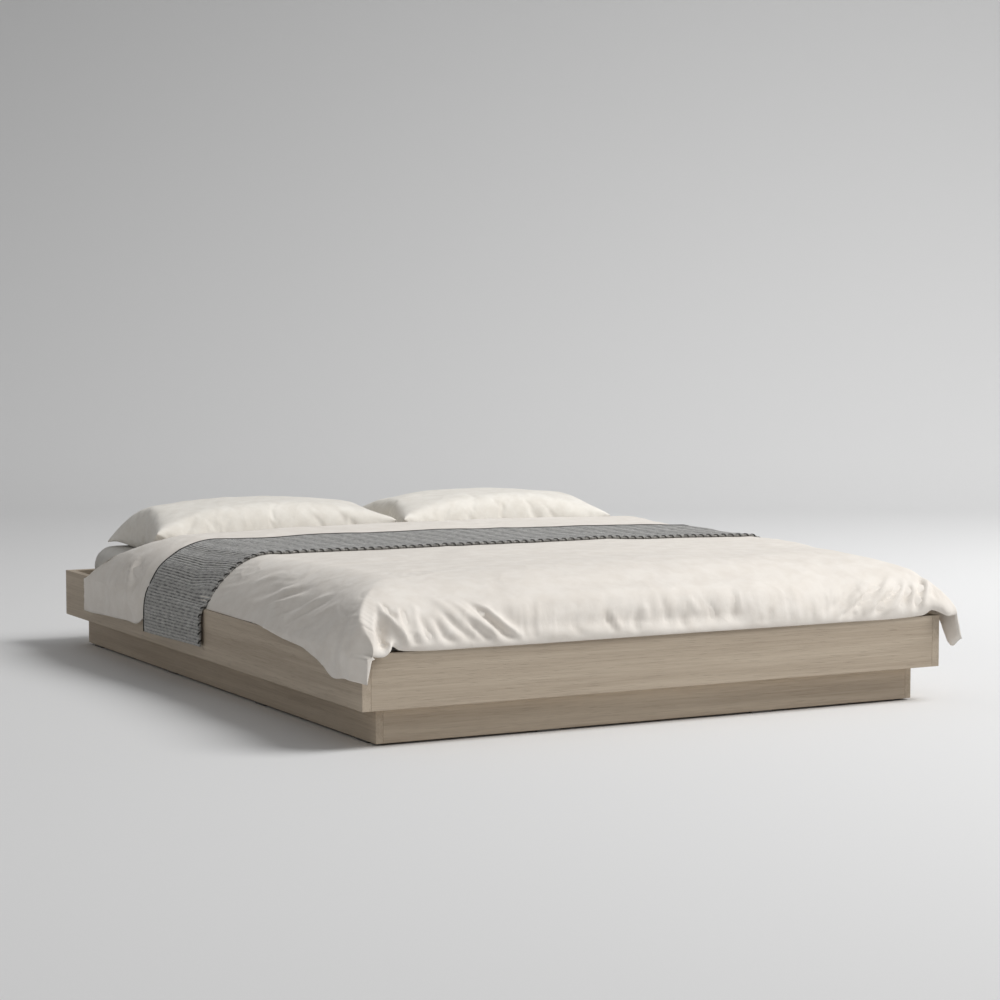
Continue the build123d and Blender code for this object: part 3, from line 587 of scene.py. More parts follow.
# Duvet: columns run across the bed and rows from foot to head. Each side is a Bezier up from the
# rail, the foot another; a place's rise is the lower of the two, so that they meet in a corner edge.
duvet = {
    "flapCells": 16, "sideCells": 60, "topCells": 200, "footCells": 64, "bodyCells": 168, "headCells": 20,
    "step": 4, "topKnots": (0.0, 0.36, 0.73, 1.0), "topShares": (0.0, 0.27, 0.80, 1.0),
    "edgeLift": 0.0015, "edgeThickness": 0.003, "padding": 0.034, "paddedShare": 0.85,
    "footLine": -1.049, "footDepth": 0.25, "leftShoulder": -0.62,
    "footHandles": ((-0.105, 0.42), (0.24, 1.0)),
    "slopeHandles": ((0.14, 0.40), (0.48, 1.0)),
    "boxHandles": ((0.06, 0.60), (0.30, 1.0)),
    "rightHandles": ((-0.05, 0.45), (0.30, 1.0)),
    "headStart": 0.455, "headLine": 0.522, "headPlaces": (0.75, 1.12), "headRises": (1.0, 0.62),
    "slantStart": 0.30, "slantPower": 1.3,
    "rise": 0.154, "shoulderShare": 0.95, "crossings": (0.025, 0.10), "crossingFrom": (-0.80, -0.55),
    "leastCrossing": 0.01, "leftTurn": 0.016, "turnFade": 0.9, "turnBand": 0.05,
    "rightFlare": 0.016, "flareBand": 0.45,
    "headTuck": 0.006, "headDrop": 0.07, "headDropShare": 0.62, "sheetGap": 0.002,
    "color": (236, 230, 222), "shade": (229, 222, 213), "creases": (4.5, 22, 0.004), "sheen": 0.2,
    # height of the crown along the bed, as shares of the rise
    "crown": {
        "places": (-1.06, -0.94, -0.70, -0.35, -0.10, 0.12, 0.29, 0.40, 0.47, 0.53, 0.81),
        "shares": (0.97, 0.99, 0.99, 0.96, 0.905, 0.915, 0.945, 0.975, 0.985, 0.97, 0.90),
    },
    # where the top turns down to the right side: further out towards the head
    "rightShoulder": {
        "places": (-1.10, -0.90, -0.75, -0.60, -0.45, -0.25, 0.0, 0.30, 0.60),
        "outs": (0.56, 0.585, 0.625, 0.67, 0.715, 0.750, 0.765, 0.765, 0.755),
    },
    # the left hem: how far out it lies, on the rail between -0.46 and 0.16 and outside it elsewhere, and
    # how far it drops below the rail's top; footBoxed and headBoxed are where the cloth's side is steeper
    "leftHang": {
        "places": (-1.075, -1.014, -0.93, -0.86, -0.80, -0.735, -0.675, -0.62, -0.555, -0.50, -0.46, -0.30,
                   0.10, 0.17, 0.22, 0.26, 0.31, 0.345, 0.45, 0.60, 0.72, 0.81),
        "outs": (0.820, 0.822, 0.821, 0.819, 0.816, 0.813, 0.811, 0.810, 0.808, 0.806, 0.802, 0.797,
                 0.797, 0.800, 0.812, 0.820, 0.823, 0.825, 0.825, 0.825, 0.825, 0.825),
        "drops": (0.067, 0.060, 0.066, 0.043, 0.030, 0.0195, 0.0160, 0.0135, 0.0075, 0.003, 0.001, 0.0007,
                  0.0007, 0.0007, 0.004, 0.018, 0.060, 0.079, 0.084, 0.089, 0.094, 0.094),
        "footBoxed": (-0.98, -0.72), "headBoxed": (0.16, 0.34), "headBoxShare": 0.55,
    },
    # the right hem: how far out it lies, and how far it drops below the rail's top
    "rightHang": {
        "out": 0.832,
        "places": (-1.085, -1.07, -1.055, -1.04, -1.025, -1.01, -0.98, -0.94, -0.88, -0.75, -0.6, -0.2, 0.2,
                   0.45, 0.56),
        "drops": (0.056, 0.068, 0.082, 0.070, 0.034, 0.012, 0.010, 0.022, 0.045, 0.064, 0.072, 0.074, 0.073,
                  0.077, 0.072),
    },
    # the foot hem: it lifts into a small arch beside each corner and reaches out over the rail at them
    "footHem": {
        "places": (-0.83, -0.785, -0.772, -0.757, -0.745, -0.730, -0.714, -0.70, -0.685, -0.67, -0.50, 0.0,
                   0.50, 0.70, 0.72, 0.735, 0.752, 0.768, 0.786, 0.80, 0.83),
        "lifts": (-0.004, -0.005, 0.001, 0.007, 0.011, 0.012, 0.004, 0.001, 0.0, -0.001, -0.003, -0.003,
                  -0.003, -0.002, -0.001, 0.0, 0.003, 0.013, 0.008, 0.0, 0.0),
        "reaches": (0.027, 0.027, 0.026, 0.022, 0.014, 0.008, 0.006, 0.005, 0.005, 0.005, 0.005, 0.005,
                    0.005, 0.005, 0.005, 0.005, 0.006, 0.009, 0.016, 0.026, 0.028),
        "liftBand": 0.22, "reachBand": 0.30, "flapBand": 0.3,
    },
    # beside the foot the left edge turns in, across the rail's corner
    "cornerTurn": {
        "along": (-1.080, -1.020), "wall": 0.034, "wallFrom": (-0.80, -0.70), "flap": 0.020, "flapBand": 0.12,
    },
    # the head edge at the left: how far up the side it still reaches each place
    "headDiagonal": {
        "shares": (0.0, 0.03, 0.18, 0.44, 0.68, 0.80, 0.90, 1.0),
        "places": (0.800, 0.785, 0.742, 0.676, 0.606, 0.568, 0.536, 0.522),
    },
    # a fold's course, as shares of its width and of its line's length
    "fold": {
        "reachWidths": 5, "startWidth": 0.75, "widening": 0.5, "slack": 0.6, "fullFrom": 0.38, "fullTo": 0.66,
    },
    # a wrinkle's course is bent by a wide noise, and a finer one is added to it
    "wrinkle": {
        "warp": 0.25, "warpCell": 0.16, "warpSeed": 50, "shares": (0.65, 0.35), "finer": (0.6, 0.5),
        "sharpness": 0.8,
    },
    # folds on the foot, as (across the bed, up the cloth from its hem); width, height
    "footFolds": [
        (((-0.731, 0.122), (-0.737, 0.085), (-0.712, 0.048), (-0.682, 0.004)), 0.0085, 0.0095),
        (((-0.754, 0.085), (-0.750, 0.012)), 0.015, -0.024),
        (((-0.724, 0.125), (-0.717, 0.075)), 0.0070, -0.0075),
        (((-0.691, 0.117), (-0.706, 0.066), (-0.690, 0.010)), 0.0070, 0.0065),
        (((-0.684, 0.110), (-0.690, 0.052)), 0.0080, -0.0065),
        (((-0.652, 0.126), (-0.654, 0.076), (-0.668, 0.030)), 0.0080, 0.0060),
        (((-0.672, 0.040), (-0.668, 0.012)), 0.010, -0.0065),
        (((-0.655, 0.108), (-0.640, 0.045), (-0.622, 0.014)), 0.0095, -0.0080),
        (((-0.617, 0.085), (-0.598, 0.034), (-0.560, 0.008)), 0.0105, -0.0085),
        (((-0.596, 0.103), (-0.566, 0.059), (-0.512, 0.006)), 0.0105, -0.0080),
        (((-0.560, 0.135), (-0.529, 0.080), (-0.496, 0.052), (-0.430, 0.006)), 0.011, 0.0065),
        (((-0.536, 0.072), (-0.506, 0.040), (-0.470, 0.012)), 0.0090, -0.0075),
        (((-0.525, 0.128), (-0.479, 0.069), (-0.446, 0.033), (-0.395, 0.004)), 0.0105, -0.0110),
        (((-0.505, 0.115), (-0.445, 0.057), (-0.388, 0.010)), 0.0090, 0.0100),
        (((-0.47, 0.10), (-0.40, 0.045), (-0.34, 0.02)), 0.024, -0.0070),
        (((-0.60, 0.15), (-0.57, 0.10), (-0.545, 0.06)), 0.014, 0.0045),
        (((-0.26, 0.040), (-0.235, 0.006)), 0.010, -0.0040),
        (((-0.175, 0.075), (-0.155, 0.030), (-0.145, 0.004)), 0.0085, -0.0055),
        (((-0.160, 0.070), (-0.135, 0.018)), 0.0080, 0.0050),
        (((-0.085, 0.070), (-0.095, 0.030), (-0.088, 0.005)), 0.0085, -0.0060),
        (((-0.066, 0.080), (-0.060, 0.035)), 0.0090, 0.0045),
        (((-0.015, 0.095), (-0.005, 0.050), (0.004, 0.022)), 0.0095, -0.0045),
        (((0.045, 0.055), (0.036, 0.008)), 0.0080, -0.0055),
        (((0.060, 0.090), (0.085, 0.045)), 0.0090, 0.0045),
        (((0.110, 0.085), (0.128, 0.048), (0.130, 0.022)), 0.0085, -0.0055),
        (((0.190, 0.110), (0.188, 0.060), (0.178, 0.015)), 0.0085, -0.0050),
        (((0.205, 0.100), (0.200, 0.040)), 0.0090, 0.0035),
        (((0.290, 0.050), (0.270, 0.008)), 0.010, -0.0040),
        (((0.262, 0.036), (0.252, 0.008)), 0.0070, -0.0030),
        (((-0.50, 0.048), (-0.22, 0.043), (0.05, 0.038), (0.36, 0.034)), 0.0200, -0.0080),
        (((-0.60, 0.114), (-0.22, 0.108), (0.05, 0.104), (0.46, 0.098)), 0.0340, 0.0110),
        (((0.513, 0.030), (0.488, 0.002)), 0.0070, -0.0040),
        (((0.541, 0.026), (0.520, 0.002)), 0.0070, -0.0040),
        (((0.583, 0.113), (0.540, 0.082), (0.498, 0.053), (0.466, 0.036), (0.430, 0.018)), 0.0125, -0.0078),
        (((0.604, 0.104), (0.560, 0.070), (0.515, 0.040)), 0.0125, 0.0049),
        (((0.680, 0.136), (0.616, 0.086), (0.566, 0.056), (0.521, 0.027), (0.494, 0.003)), 0.0088, -0.0088),
        (((0.675, 0.117), (0.630, 0.072), (0.590, 0.038), (0.541, 0.009)), 0.0090, 0.0075),
        (((0.708, 0.110), (0.679, 0.078), (0.637, 0.052), (0.602, 0.024), (0.588, 0.008)), 0.0085, -0.0107),
        (((0.716, 0.098), (0.682, 0.062), (0.650, 0.034), (0.612, 0.008)), 0.0080, 0.0072),
        (((0.722, 0.095), (0.700, 0.056), (0.676, 0.026)), 0.0075, -0.0068),
        (((0.742, 0.100), (0.722, 0.064), (0.700, 0.030)), 0.0085, 0.0059),
        (((0.778, 0.108), (0.755, 0.075), (0.732, 0.049), (0.722, 0.022), (0.723, 0.006)), 0.0088, -0.0123),
        (((0.790, 0.102), (0.770, 0.062), (0.748, 0.040), (0.739, 0.016)), 0.0085, 0.0081),
        (((0.798, 0.095), (0.786, 0.058), (0.774, 0.032)), 0.0080, -0.0055),
    ],
    # folds on the left side, as (along the bed, up the cloth from the rail)
    "leftFolds": [
        (((-0.365, 0.045), (-0.576, 0.135)), 0.011, 0.0042),
        (((-0.447, 0.062), (-0.63, 0.135)), 0.010, -0.0042),
        (((-0.41, 0.036), (-0.65, 0.114)), 0.009, 0.0040),
        (((-0.50, 0.022), (-0.70, 0.105)), 0.010, -0.0045),
        (((-0.59, 0.008), (-0.79, 0.130)), 0.010, -0.0055),
        (((-0.64, 0.065), (-0.77, 0.135)), 0.009, 0.0046),
        (((-0.65, 0.000), (-0.77, 0.055)), 0.010, -0.0038),
        (((-0.70, 0.030), (-0.86, 0.115)), 0.010, 0.0036),
        (((-0.24, 0.080), (-0.42, 0.165)), 0.014, 0.0034),
        (((-0.30, 0.050), (-0.46, 0.110)), 0.012, -0.0030),
        (((-0.76, 0.010), (-0.90, 0.080)), 0.011, -0.0036),
        (((-1.00, 0.120), (-0.995, 0.030), (-0.985, -0.055)), 0.013, 0.0042),
        (((-0.955, 0.100), (-0.945, 0.020), (-0.93, -0.055)), 0.013, -0.0036),
        (((-0.90, 0.060), (-0.89, -0.045)), 0.015, 0.0030),
        (((0.470, 0.150), (0.461, 0.081), (0.431, 0.017), (0.402, -0.032), (0.350, -0.080)), 0.0120, 0.0130),
        (((0.445, 0.120), (0.425, 0.071), (0.385, 0.023), (0.350, -0.020)), 0.0110, -0.0090),
        (((0.502, 0.160), (0.501, 0.073), (0.514, 0.011), (0.478, -0.032), (0.452, -0.075)), 0.0120, 0.0095),
        (((0.482, 0.120), (0.480, 0.060), (0.478, 0.010), (0.445, -0.035)), 0.0100, -0.0070),
        (((0.60, 0.08), (0.57, 0.0), (0.56, -0.07)), 0.012, 0.0050),
        (((0.66, 0.05), (0.64, -0.01), (0.63, -0.07)), 0.011, -0.0040),
        (((0.36, 0.12), (0.345, 0.02), (0.34, -0.08)), 0.012, 0.0045),
    ],
    # small creases and swells: kind, height, then the kind's own values, the last of which is the seed
    "ruffles": {
        "foot": ("wrinkles", 0.0016, (1.45, 0.11, 0.026, 11)),
        "left": ("wrinkles", 0.0012, (2.65, 0.13, 0.026, 21)),
        "right": ("wrinkles", 0.0030, (1.35, 0.16, 0.050, 31)),
        "all": ("softNoise", 0.0030, (0.16, 0.13, 41)),
        "top": ("wrinkles", 0.0010, (0.25, 0.20, 0.055, 43)),
        "footSwell": ("softNoise", 0.0030, (0.085, 0.09, 45)),
    },
    # where the relief starts and where it is whole: up the cloth, across or along the bed, or as shares
    "zones": {
        "footTop": (0.14, 0.22), "flap": (0.0, 0.2), "footLeft": (-0.812, -0.795), "footRight": (0.80, 0.815),
        "hollows": (0, 0.022), "side": (0.13, 0.20), "topUp": (0.10, 0.24), "topIn": (0.10, 0.2),
        "nearHem": (0.0, 0.03), "aboveHem": (0.02, 0.08), "fineFrom": (0.004, 0.03), "fineTo": (0.07, 0.13),
        "swellFrom": (0.0, 0.05), "lyingFrom": (-0.50, -0.44), "lyingTo": (0.14, 0.2),
        "lyingUp": (0.004, 0.03),
    },
}


def softMin(a, b, width):
    # the lower of two, with a parabola of the given width where they cross
    gap = np.maximum(width - np.abs(a - b), 0) / np.maximum(width, 1e-9)
    return np.minimum(a, b) - gap * gap * width / 4


def duvetBase():
    # the duvet's outer side as a grid: over the rail stands the crown's height times the lower of the
    # foot's and the side's climb, and the cloth beyond the edges hangs down to its hem
    d = duvet
    footHem, cornerTurn, headDiagonal = d["footHem"], d["cornerTurn"], d["headDiagonal"]
    footT = np.linspace(0, 1, d["footCells"] + 1)
    (h1y, h1z), (h2y, h2z) = d["footHandles"]
    footY = d["footLine"] + d["footDepth"] * bezier(0, h1y, h2y, 1, footT)
    footRise = bezier(0, h1z, h2z, 1, footT)
    bodyY = np.linspace(footY[-1], d["headStart"], d["bodyCells"] + 1)[1:]
    headT = np.linspace(0, 1, d["headCells"] + 1)[1:]
    headY = mixed(d["headStart"], d["headLine"], bezier(0, *d["headPlaces"], 1, headT))
    headRise = bezier(1, *d["headRises"], 0, headT)
    rowY = np.concatenate([footY, bodyY, headY])
    beyond = np.ones(len(bodyY) + len(headY))
    footShare, foot = np.concatenate([footT, beyond]), np.concatenate([footRise, beyond])
    head = np.concatenate([np.ones(len(footY) + len(bodyY)), headRise])
    hangShare = np.linspace(1, 0, d["flapCells"] + 1)[:-1]
    sideT = np.linspace(0, 1, d["sideCells"] + 1)
    topT = np.interp(np.linspace(0, 1, d["topCells"] + 1), d["topKnots"], d["topShares"])[1:-1]
    kinds = [("leftFlap", hangShare), ("left", sideT), ("top", topT), ("right", sideT[::-1]),
             ("rightFlap", hangShare[::-1])]
    climb = []
    for kind, t in kinds:
        handles = {"left": "slopeHandles", "right": "rightHandles"}.get(kind)
        level = np.full(len(t), float(kind == "top"))
        climb.append(bezier(0, d[handles][0][1], 1, 1, t) if handles else level)
    climbed = np.concatenate(climb)
    leftSide = np.concatenate([np.full(len(t), kind in ("leftFlap", "left")) for kind, t in kinds])
    reach = through(headDiagonal["shares"], headDiagonal["places"], climbed)
    extra = np.where(leftSide, reach - d["headLine"], 0)
    stretch = smooth(d["slantStart"], d["headLine"], rowY) ** d["slantPower"]
    y = rowY[:, None] + extra[None, :] * stretch[:, None]
    foot, head, footShare = foot[:, None] + 0 * y, head[:, None] + 0 * y, footShare[:, None] + 0 * y
    x, rise, drop, hung = (np.zeros_like(y) for _ in range(4))
    z0 = railTop + d["edgeLift"]
    crown = fromTable(d["crown"], "shares", y) * d["rise"]
    leftEdge = -fromTable(d["leftHang"], "outs", y)
    rightShoulder = fromTable(d["rightShoulder"], "outs", y)
    boxed = np.maximum(1 - smooth(*d["leftHang"]["footBoxed"], y),
                       d["leftHang"]["headBoxShare"] * smooth(*d["leftHang"]["headBoxed"], y))
    start = 0
    for kind, t in kinds:
        span = slice(start, start + len(t))
        start += len(t)
        yy = y[:, span]
        if kind in ("left", "right"):
            if kind == "left":
                slope, share = d["slopeHandles"], boxed[:, span]
                edge, shoulder = leftEdge[:, span], d["leftShoulder"]
            else:
                slope, share = d["rightHandles"], 0 * yy
                edge, shoulder = d["rightHang"]["out"], rightShoulder[:, span]
            h1, h2 = [(mixed(s[0], b[0], share), mixed(s[1], b[1], share))
                      for s, b in zip(slope, d["boxHandles"])]
            x[:, span] = edge + (shoulder - edge) * bezier(0, h1[0], h2[0], 1, t[None, :])
            rise[:, span] = bezier(0, h1[1], h2[1], 1, t[None, :])
        elif kind == "top":
            x[:, span] = mixed(d["leftShoulder"], rightShoulder[:, span], t[None, :])
            rise[:, span] = 1
        else:
            left = kind == "leftFlap"
            hemY = yy - footHem["reaches"][-1] * (1 - smooth(0, footHem["reachBand"], footShare[:, span]))
            hang = d["leftHang"] if left else d["rightHang"]
            drop[:, span] = fromTable(hang, "drops", hemY) * t[None, :]
            hung[:, span] = t[None, :]
            flare = d["rightFlare"] * t * (1 - smooth(0.0, d["flareBand"], footShare[:, span]))
            turned = d["leftTurn"] * (1 - d["turnFade"] * t)
            turned = turned * (1 - smooth(0.0, d["turnBand"], footShare[:, span]))
            x[:, span] = leftEdge[:, span] + turned if left else hang["out"] + flare
    width = mixed(*d["crossings"], smooth(*d["crossingFrom"], x))
    width = width * (1 - np.minimum(foot, rise)) + d["leastCrossing"]
    both = np.where(hung > 0, 0, np.maximum(softMin(foot, rise, width), 0))
    topShare = np.clip((x - d["leftShoulder"]) / (rightShoulder - d["leftShoulder"]), 0, 1)
    bow = 1 - (2 * topShare - 1) ** 2
    z = z0 + crown * (d["shoulderShare"] * both + (1 - d["shoulderShare"]) * bow * foot)
    headEdge = np.minimum(z, np.maximum(z - d["headDrop"], sheetTop + d["sheetGap"]))
    hemZ = np.where(both > d["headDropShare"], headEdge, z - d["headTuck"])
    z = np.where(hung > 0, z0 - drop, mixed(hemZ, z, head))
    atHem = 1 - smooth(0, footHem["liftBand"], footShare)
    atHem = atHem * (1 - smooth(0, footHem["flapBand"], hung))
    z = z + fromTable(footHem, "lifts", x) * atHem
    reaching = 1 - smooth(0, footHem["reachBand"], footShare)
    y = y - fromTable(footHem, "reaches", x) * reaching
    wall = cornerTurn["wall"] * (1 - smooth(*cornerTurn["wallFrom"], x))
    turnedIn = mixed(wall, cornerTurn["flap"], smooth(0, cornerTurn["flapBand"], hung))
    x = x + turnedIn * (1 - smooth(*cornerTurn["along"], y)) * (x < 0)
    grid = np.stack([x, y, z], axis=-1)
    stepRows = np.linalg.norm(np.diff(grid, axis=0), axis=2)
    up = np.concatenate([np.zeros((1, grid.shape[1])), np.cumsum(stepRows, axis=0)])
    return {"grid": grid, "x": x, "y": y, "both": both, "hung": hung, "up": up}


def foldRelief(p, q, folds):
    # a fold is a line of (p, q) places, then width and height. Its relief is the height times
    # exp(-(d/w)^2); it grows wider along the line, and fades in and out at the line's two ends
    shape = duvet["fold"]
    total = np.zeros_like(p)
    for places, width, height in folds:
        line = np.array(places, float)
        legs = np.linalg.norm(np.diff(line, axis=0), axis=1)
        walked = np.concatenate([[0], np.cumsum(legs)])
        reach = shape["reachWidths"] * width
        near = (p > line[:, 0].min() - reach) & (p < line[:, 0].max() + reach)
        near &= (q > line[:, 1].min() - reach) & (q < line[:, 1].max() + reach)
        pn, qn = p[near], q[near]
        bestN, shareN = np.full(pn.shape, 1e9), np.zeros_like(pn)
        for k in range(len(legs)):
            way = (line[k + 1] - line[k]) / legs[k]
            t = (pn - line[k, 0]) * way[0] + (qn - line[k, 1]) * way[1]
            low = -reach if k == 0 else 0.0
            high = legs[k] + (reach if k == len(legs) - 1 else 0.0)
            t = np.clip(t, low, high)
            away = np.hypot(pn - line[k, 0] - way[0] * t, qn - line[k, 1] - way[1] * t)
            closer = away < bestN
            bestN = np.where(closer, away, bestN)
            shareN = np.where(closer, (walked[k] + t) / walked[-1], shareN)
        wide = width * (shape["startWidth"] + shape["widening"] * np.clip(shareN, 0, 1))
        slack = shape["slack"] * width / walked[-1]
        fade = smooth(-slack, shape["fullFrom"], shareN) * (1 - smooth(shape["fullTo"], 1 + slack, shareN))
        total[near] += height * np.exp(-((bestN / wide) ** 2)) * fade
    return total


def softNoise(p, q, cellP, cellQ, seed):
    # random heights on a lattice, joined by smooth steps between its points; from -1 to 1
    rng = np.random.default_rng(seed)
    a, b = p / cellP, q / cellQ
    i, j = np.floor(a).astype(int), np.floor(b).astype(int)
    i0, j0 = i.min(), j.min()
    table = rng.uniform(-1, 1, (i.max() - i0 + 2, j.max() - j0 + 2))
    i, j = i - i0, j - j0
    s, t = smooth(0, 1, a - np.floor(a)), smooth(0, 1, b - np.floor(b))
    lower = mixed(table[i, j], table[i + 1, j], s)
    upper = mixed(table[i, j + 1], table[i + 1, j + 1], s)
    return mixed(lower, upper, t)


def wrinkles(p, q, angle, cellAlong, cellAcross, seed):
    # long thin ridges along one direction: 1 - 2|n|^0.8, the crest where the noise n crosses zero
    shape = duvet["wrinkle"]
    warp = softNoise(p, q, shape["warpCell"], shape["warpCell"], seed + shape["warpSeed"]) * shape["warp"]
    turned = angle + warp
    along = p * np.cos(turned) + q * np.sin(turned)
    across = q * np.cos(turned) - p * np.sin(turned)
    coarseShare, fineShare = shape["shares"]
    n = softNoise(along, across, cellAlong, cellAcross, seed)
    fine = softNoise(along, across, cellAlong * shape["finer"][0], cellAcross * shape["finer"][1], seed + 1)
    n = coarseShare * n + fineShare * fine
    return 1 - 2 * np.abs(n) ** shape["sharpness"]


def duvetRelief(base):
    # lengths from the left and the right edge are walked along each row; the hem that lies on the
    # left rail stays plain
    x, y, up, hung, grid = (base[key] for key in ("x", "y", "up", "hung", "grid"))
    stepCols = np.linalg.norm(np.diff(grid, axis=1), axis=2)
    across = np.concatenate([np.zeros((grid.shape[0], 1)), np.cumsum(stepCols, axis=1)], axis=1)
    flap = duvet["flapCells"]
    fromLeft = across - across[:, flap:flap + 1]
    fromRight = across[:, -flap - 1:-flap] - across
    zones, kinds = duvet["zones"], {"wrinkles": wrinkles, "softNoise": softNoise}
    onFoot = (1 - smooth(*zones["footTop"], up)) * (1 - smooth(*zones["flap"], hung))
    onFoot *= smooth(*zones["footLeft"], x) * (1 - smooth(*zones["footRight"], x))
    onLeft = (1 - smooth(*zones["side"], fromLeft)) * (x < 0)
    onRight = (1 - smooth(*zones["side"], fromRight)) * (x > 0)
    onTop = smooth(*zones["topIn"], fromLeft) * smooth(*zones["topIn"], fromRight)
    onTop = onTop * smooth(*zones["topUp"], up)
    relief = foldRelief(x, up, duvet["footFolds"]) * onFoot
    relief = np.where(relief < 0, relief * smooth(*zones["hollows"], up), relief)
    relief += foldRelief(y, fromLeft, duvet["leftFolds"]) * onLeft * smooth(*zones["nearHem"], up)
    ruffled = {
        "foot": (x, up, onFoot * smooth(*zones["fineFrom"], up) * (1 - smooth(*zones["fineTo"], up))),
        "left": (y, fromLeft, onLeft * smooth(*zones["aboveHem"], up)),
        "right": (y, fromRight, onRight * smooth(*zones["aboveHem"], up)),
        "all": (x, y, smooth(*zones["swellFrom"], up)),
        "top": (x, y, onTop),
        "footSwell": (x, up, onFoot * smooth(*zones["nearHem"], up)),
    }
    for place, (p, q, shown) in ruffled.items():
        kind, height, values = duvet["ruffles"][place]
        relief += height * kinds[kind](p, q, *values) * shown
    lying = smooth(*zones["lyingFrom"], y) * (1 - smooth(*zones["lyingTo"], y))
    lying = lying * (x < 0) * (1 - smooth(*zones["lyingUp"], fromLeft))
    return relief * (1 - lying)


base = duvetBase()
surface = base["grid"]
normals = gridNormals(surface)
surface = surface + normals * duvetRelief(base)[..., None]
normals = gridNormals(surface)
padded = smooth(duvet["paddedShare"], 1.0, base["both"])[..., None]
thin = duvet["edgeThickness"] + duvet["padding"] * padded
innerGrid = coarse(surface - normals * thin, duvet["step"])
points, faces = closedShell(surface, innerGrid, duvet["step"])
duvetPiece = makePiece("duvetCover", points, faces, clothMaterial("duvetCotton", duvet))
placed(duvetPiece, "duvet_cotton", "duvet")
print("duvet done:", len(faces), "faces")

# Throw: a band laid across the duvet. Its left half is a smooth line through (x, z) tables for the
# near and the far border, mixed in between; its right half follows the duvet's own surface.
throw = {
    "width": 0.366, "leftCentre": 0.106, "rightCentre": -0.066, "halfBed": 0.8,
    "skewShares": (-0.02, 1.02), "thickness": 0.005,
    "ribs": 272, "ribCells": 6, "ribHeight": 0.0013, "ribPower": 0.8, "cells": 40, "step": 4,
    "plainBorder": (0.0036, 0.012), "plainHem": (0.004, 0.012), "clearance": 0.0015,
    "bedFrom": (-0.79, -0.77), "bedTo": 0.2, "topFrom": (-0.72, -0.60), "topTo": (0.05, 0.2),
    "rightFrom": 0.01, "rightEnd": 0.03, "knitPitch": 0.0085, "dashLength": 0.020, "loopShare": 0.85,
    "loopSlant": 1.1, "loopPower": 0.6, "fuzz": 0.25, "knitDepth": 0.0022, "lineSamples": 500,
    "near": ((-0.812, 0.122), (-0.812, 0.165), (-0.811, 0.203), (-0.803, 0.2215), (-0.788, 0.233),
             (-0.769, 0.2555), (-0.727, 0.299), (-0.672, 0.336), (-0.602, 0.352), (-0.531, 0.357),
             (-0.388, 0.360), (-0.10, 0.360), (0.20, 0.359)),
    "far": ((-0.830, 0.122), (-0.830, 0.160), (-0.829, 0.190), (-0.826, 0.212), (-0.821, 0.231),
            (-0.810, 0.254), (-0.784, 0.297), (-0.741, 0.330), (-0.689, 0.352), (-0.625, 0.363),
            (-0.52, 0.368), (-0.20, 0.369), (0.15, 0.368)),
    "hem": 0.122,
    "cordRadius": 0.0034, "cordSunk": 0.2, "cordStep": 12,
    "stitchPitch": 0.023, "stitchStart": 0.3, "stitchLean": 0.010, "stitchRadius": 0.0019,
    "stitchSides": 6, "stitchPlaces": 6, "stitchRow": 2,
    "stitchIn": ((0.0, 0.7, 1.0), (0.008, -0.0005, -0.001)),
    "stitchUp": ((0.0, 0.2, 0.7, 1.0), (0.0, 0.0012, 0.0008, -0.005)),
    # the yarn, then the near-black painted shade of the grooves between the ribs; on the next line, after the
    # two noise scales, how deep that painted shade is in each dash
    "yarn": (196, 194, 189), "grooveShade": (22, 21, 20),
    "fuzzScale": 900.0, "blotchScale": 60.0, "shadeDepthFrom": (0.40, 0.60), "shadeDepthTo": (0.45, 1.0),
    "blotchFrom": (0.3, 0.7), "blotchTo": (0.75, 1.1), "bumpStrength": 0.8,
    "roughness": 0.95, "sheen": 1.0, "sheenRoughness": 0.4, "gloss": 0.15,
    "edge": {"color": (56, 54, 52), "spread": 0.18, "rough": 0.9, "metallic": 0.0, "scale": 900,
             "relief": 0.0004},
}


def throwY(x, v):
    # v runs over the width, 0 at the near border; the band lies skewed from the left to the right side
    half = throw["halfBed"]
    share = np.clip((x + half) / (2 * half), *throw["skewShares"])
    centre = mixed(throw["leftCentre"], throw["rightCentre"], share)
    return centre + (v - 0.5) * throw["width"]


def rowsAt(y):
    # whole row numbers and shares for places along the bed, read from the duvet's middle column
    rowsY = surface[:, surface.shape[1] // 2, 1]
    row = np.interp(y, rowsY, np.arange(len(rowsY)))
    low = np.clip(row.astype(int), 0, len(rowsY) - 2)
    return low, row - low


def rightSection(v):
    # the duvet's right half, moved outwards by the throw's thickness, then straight down to the hem,
    # as (x, z) places
    columns = np.arange(surface.shape[1] // 2, surface.shape[1])
    low, part = rowsAt(throwY(surface[surface.shape[0] // 2, columns, 0], v))
    away = throw["thickness"] + throw["clearance"]
    lifted = surface + normals * away
    section = mixed(lifted[low, columns], lifted[low + 1, columns], part[:, None])[:, [0, 2]]
    section = section[section[:, 1] > throw["hem"] + throw["rightEnd"]]
    return np.concatenate([section, [[section[-1, 0], throw["hem"]]]])


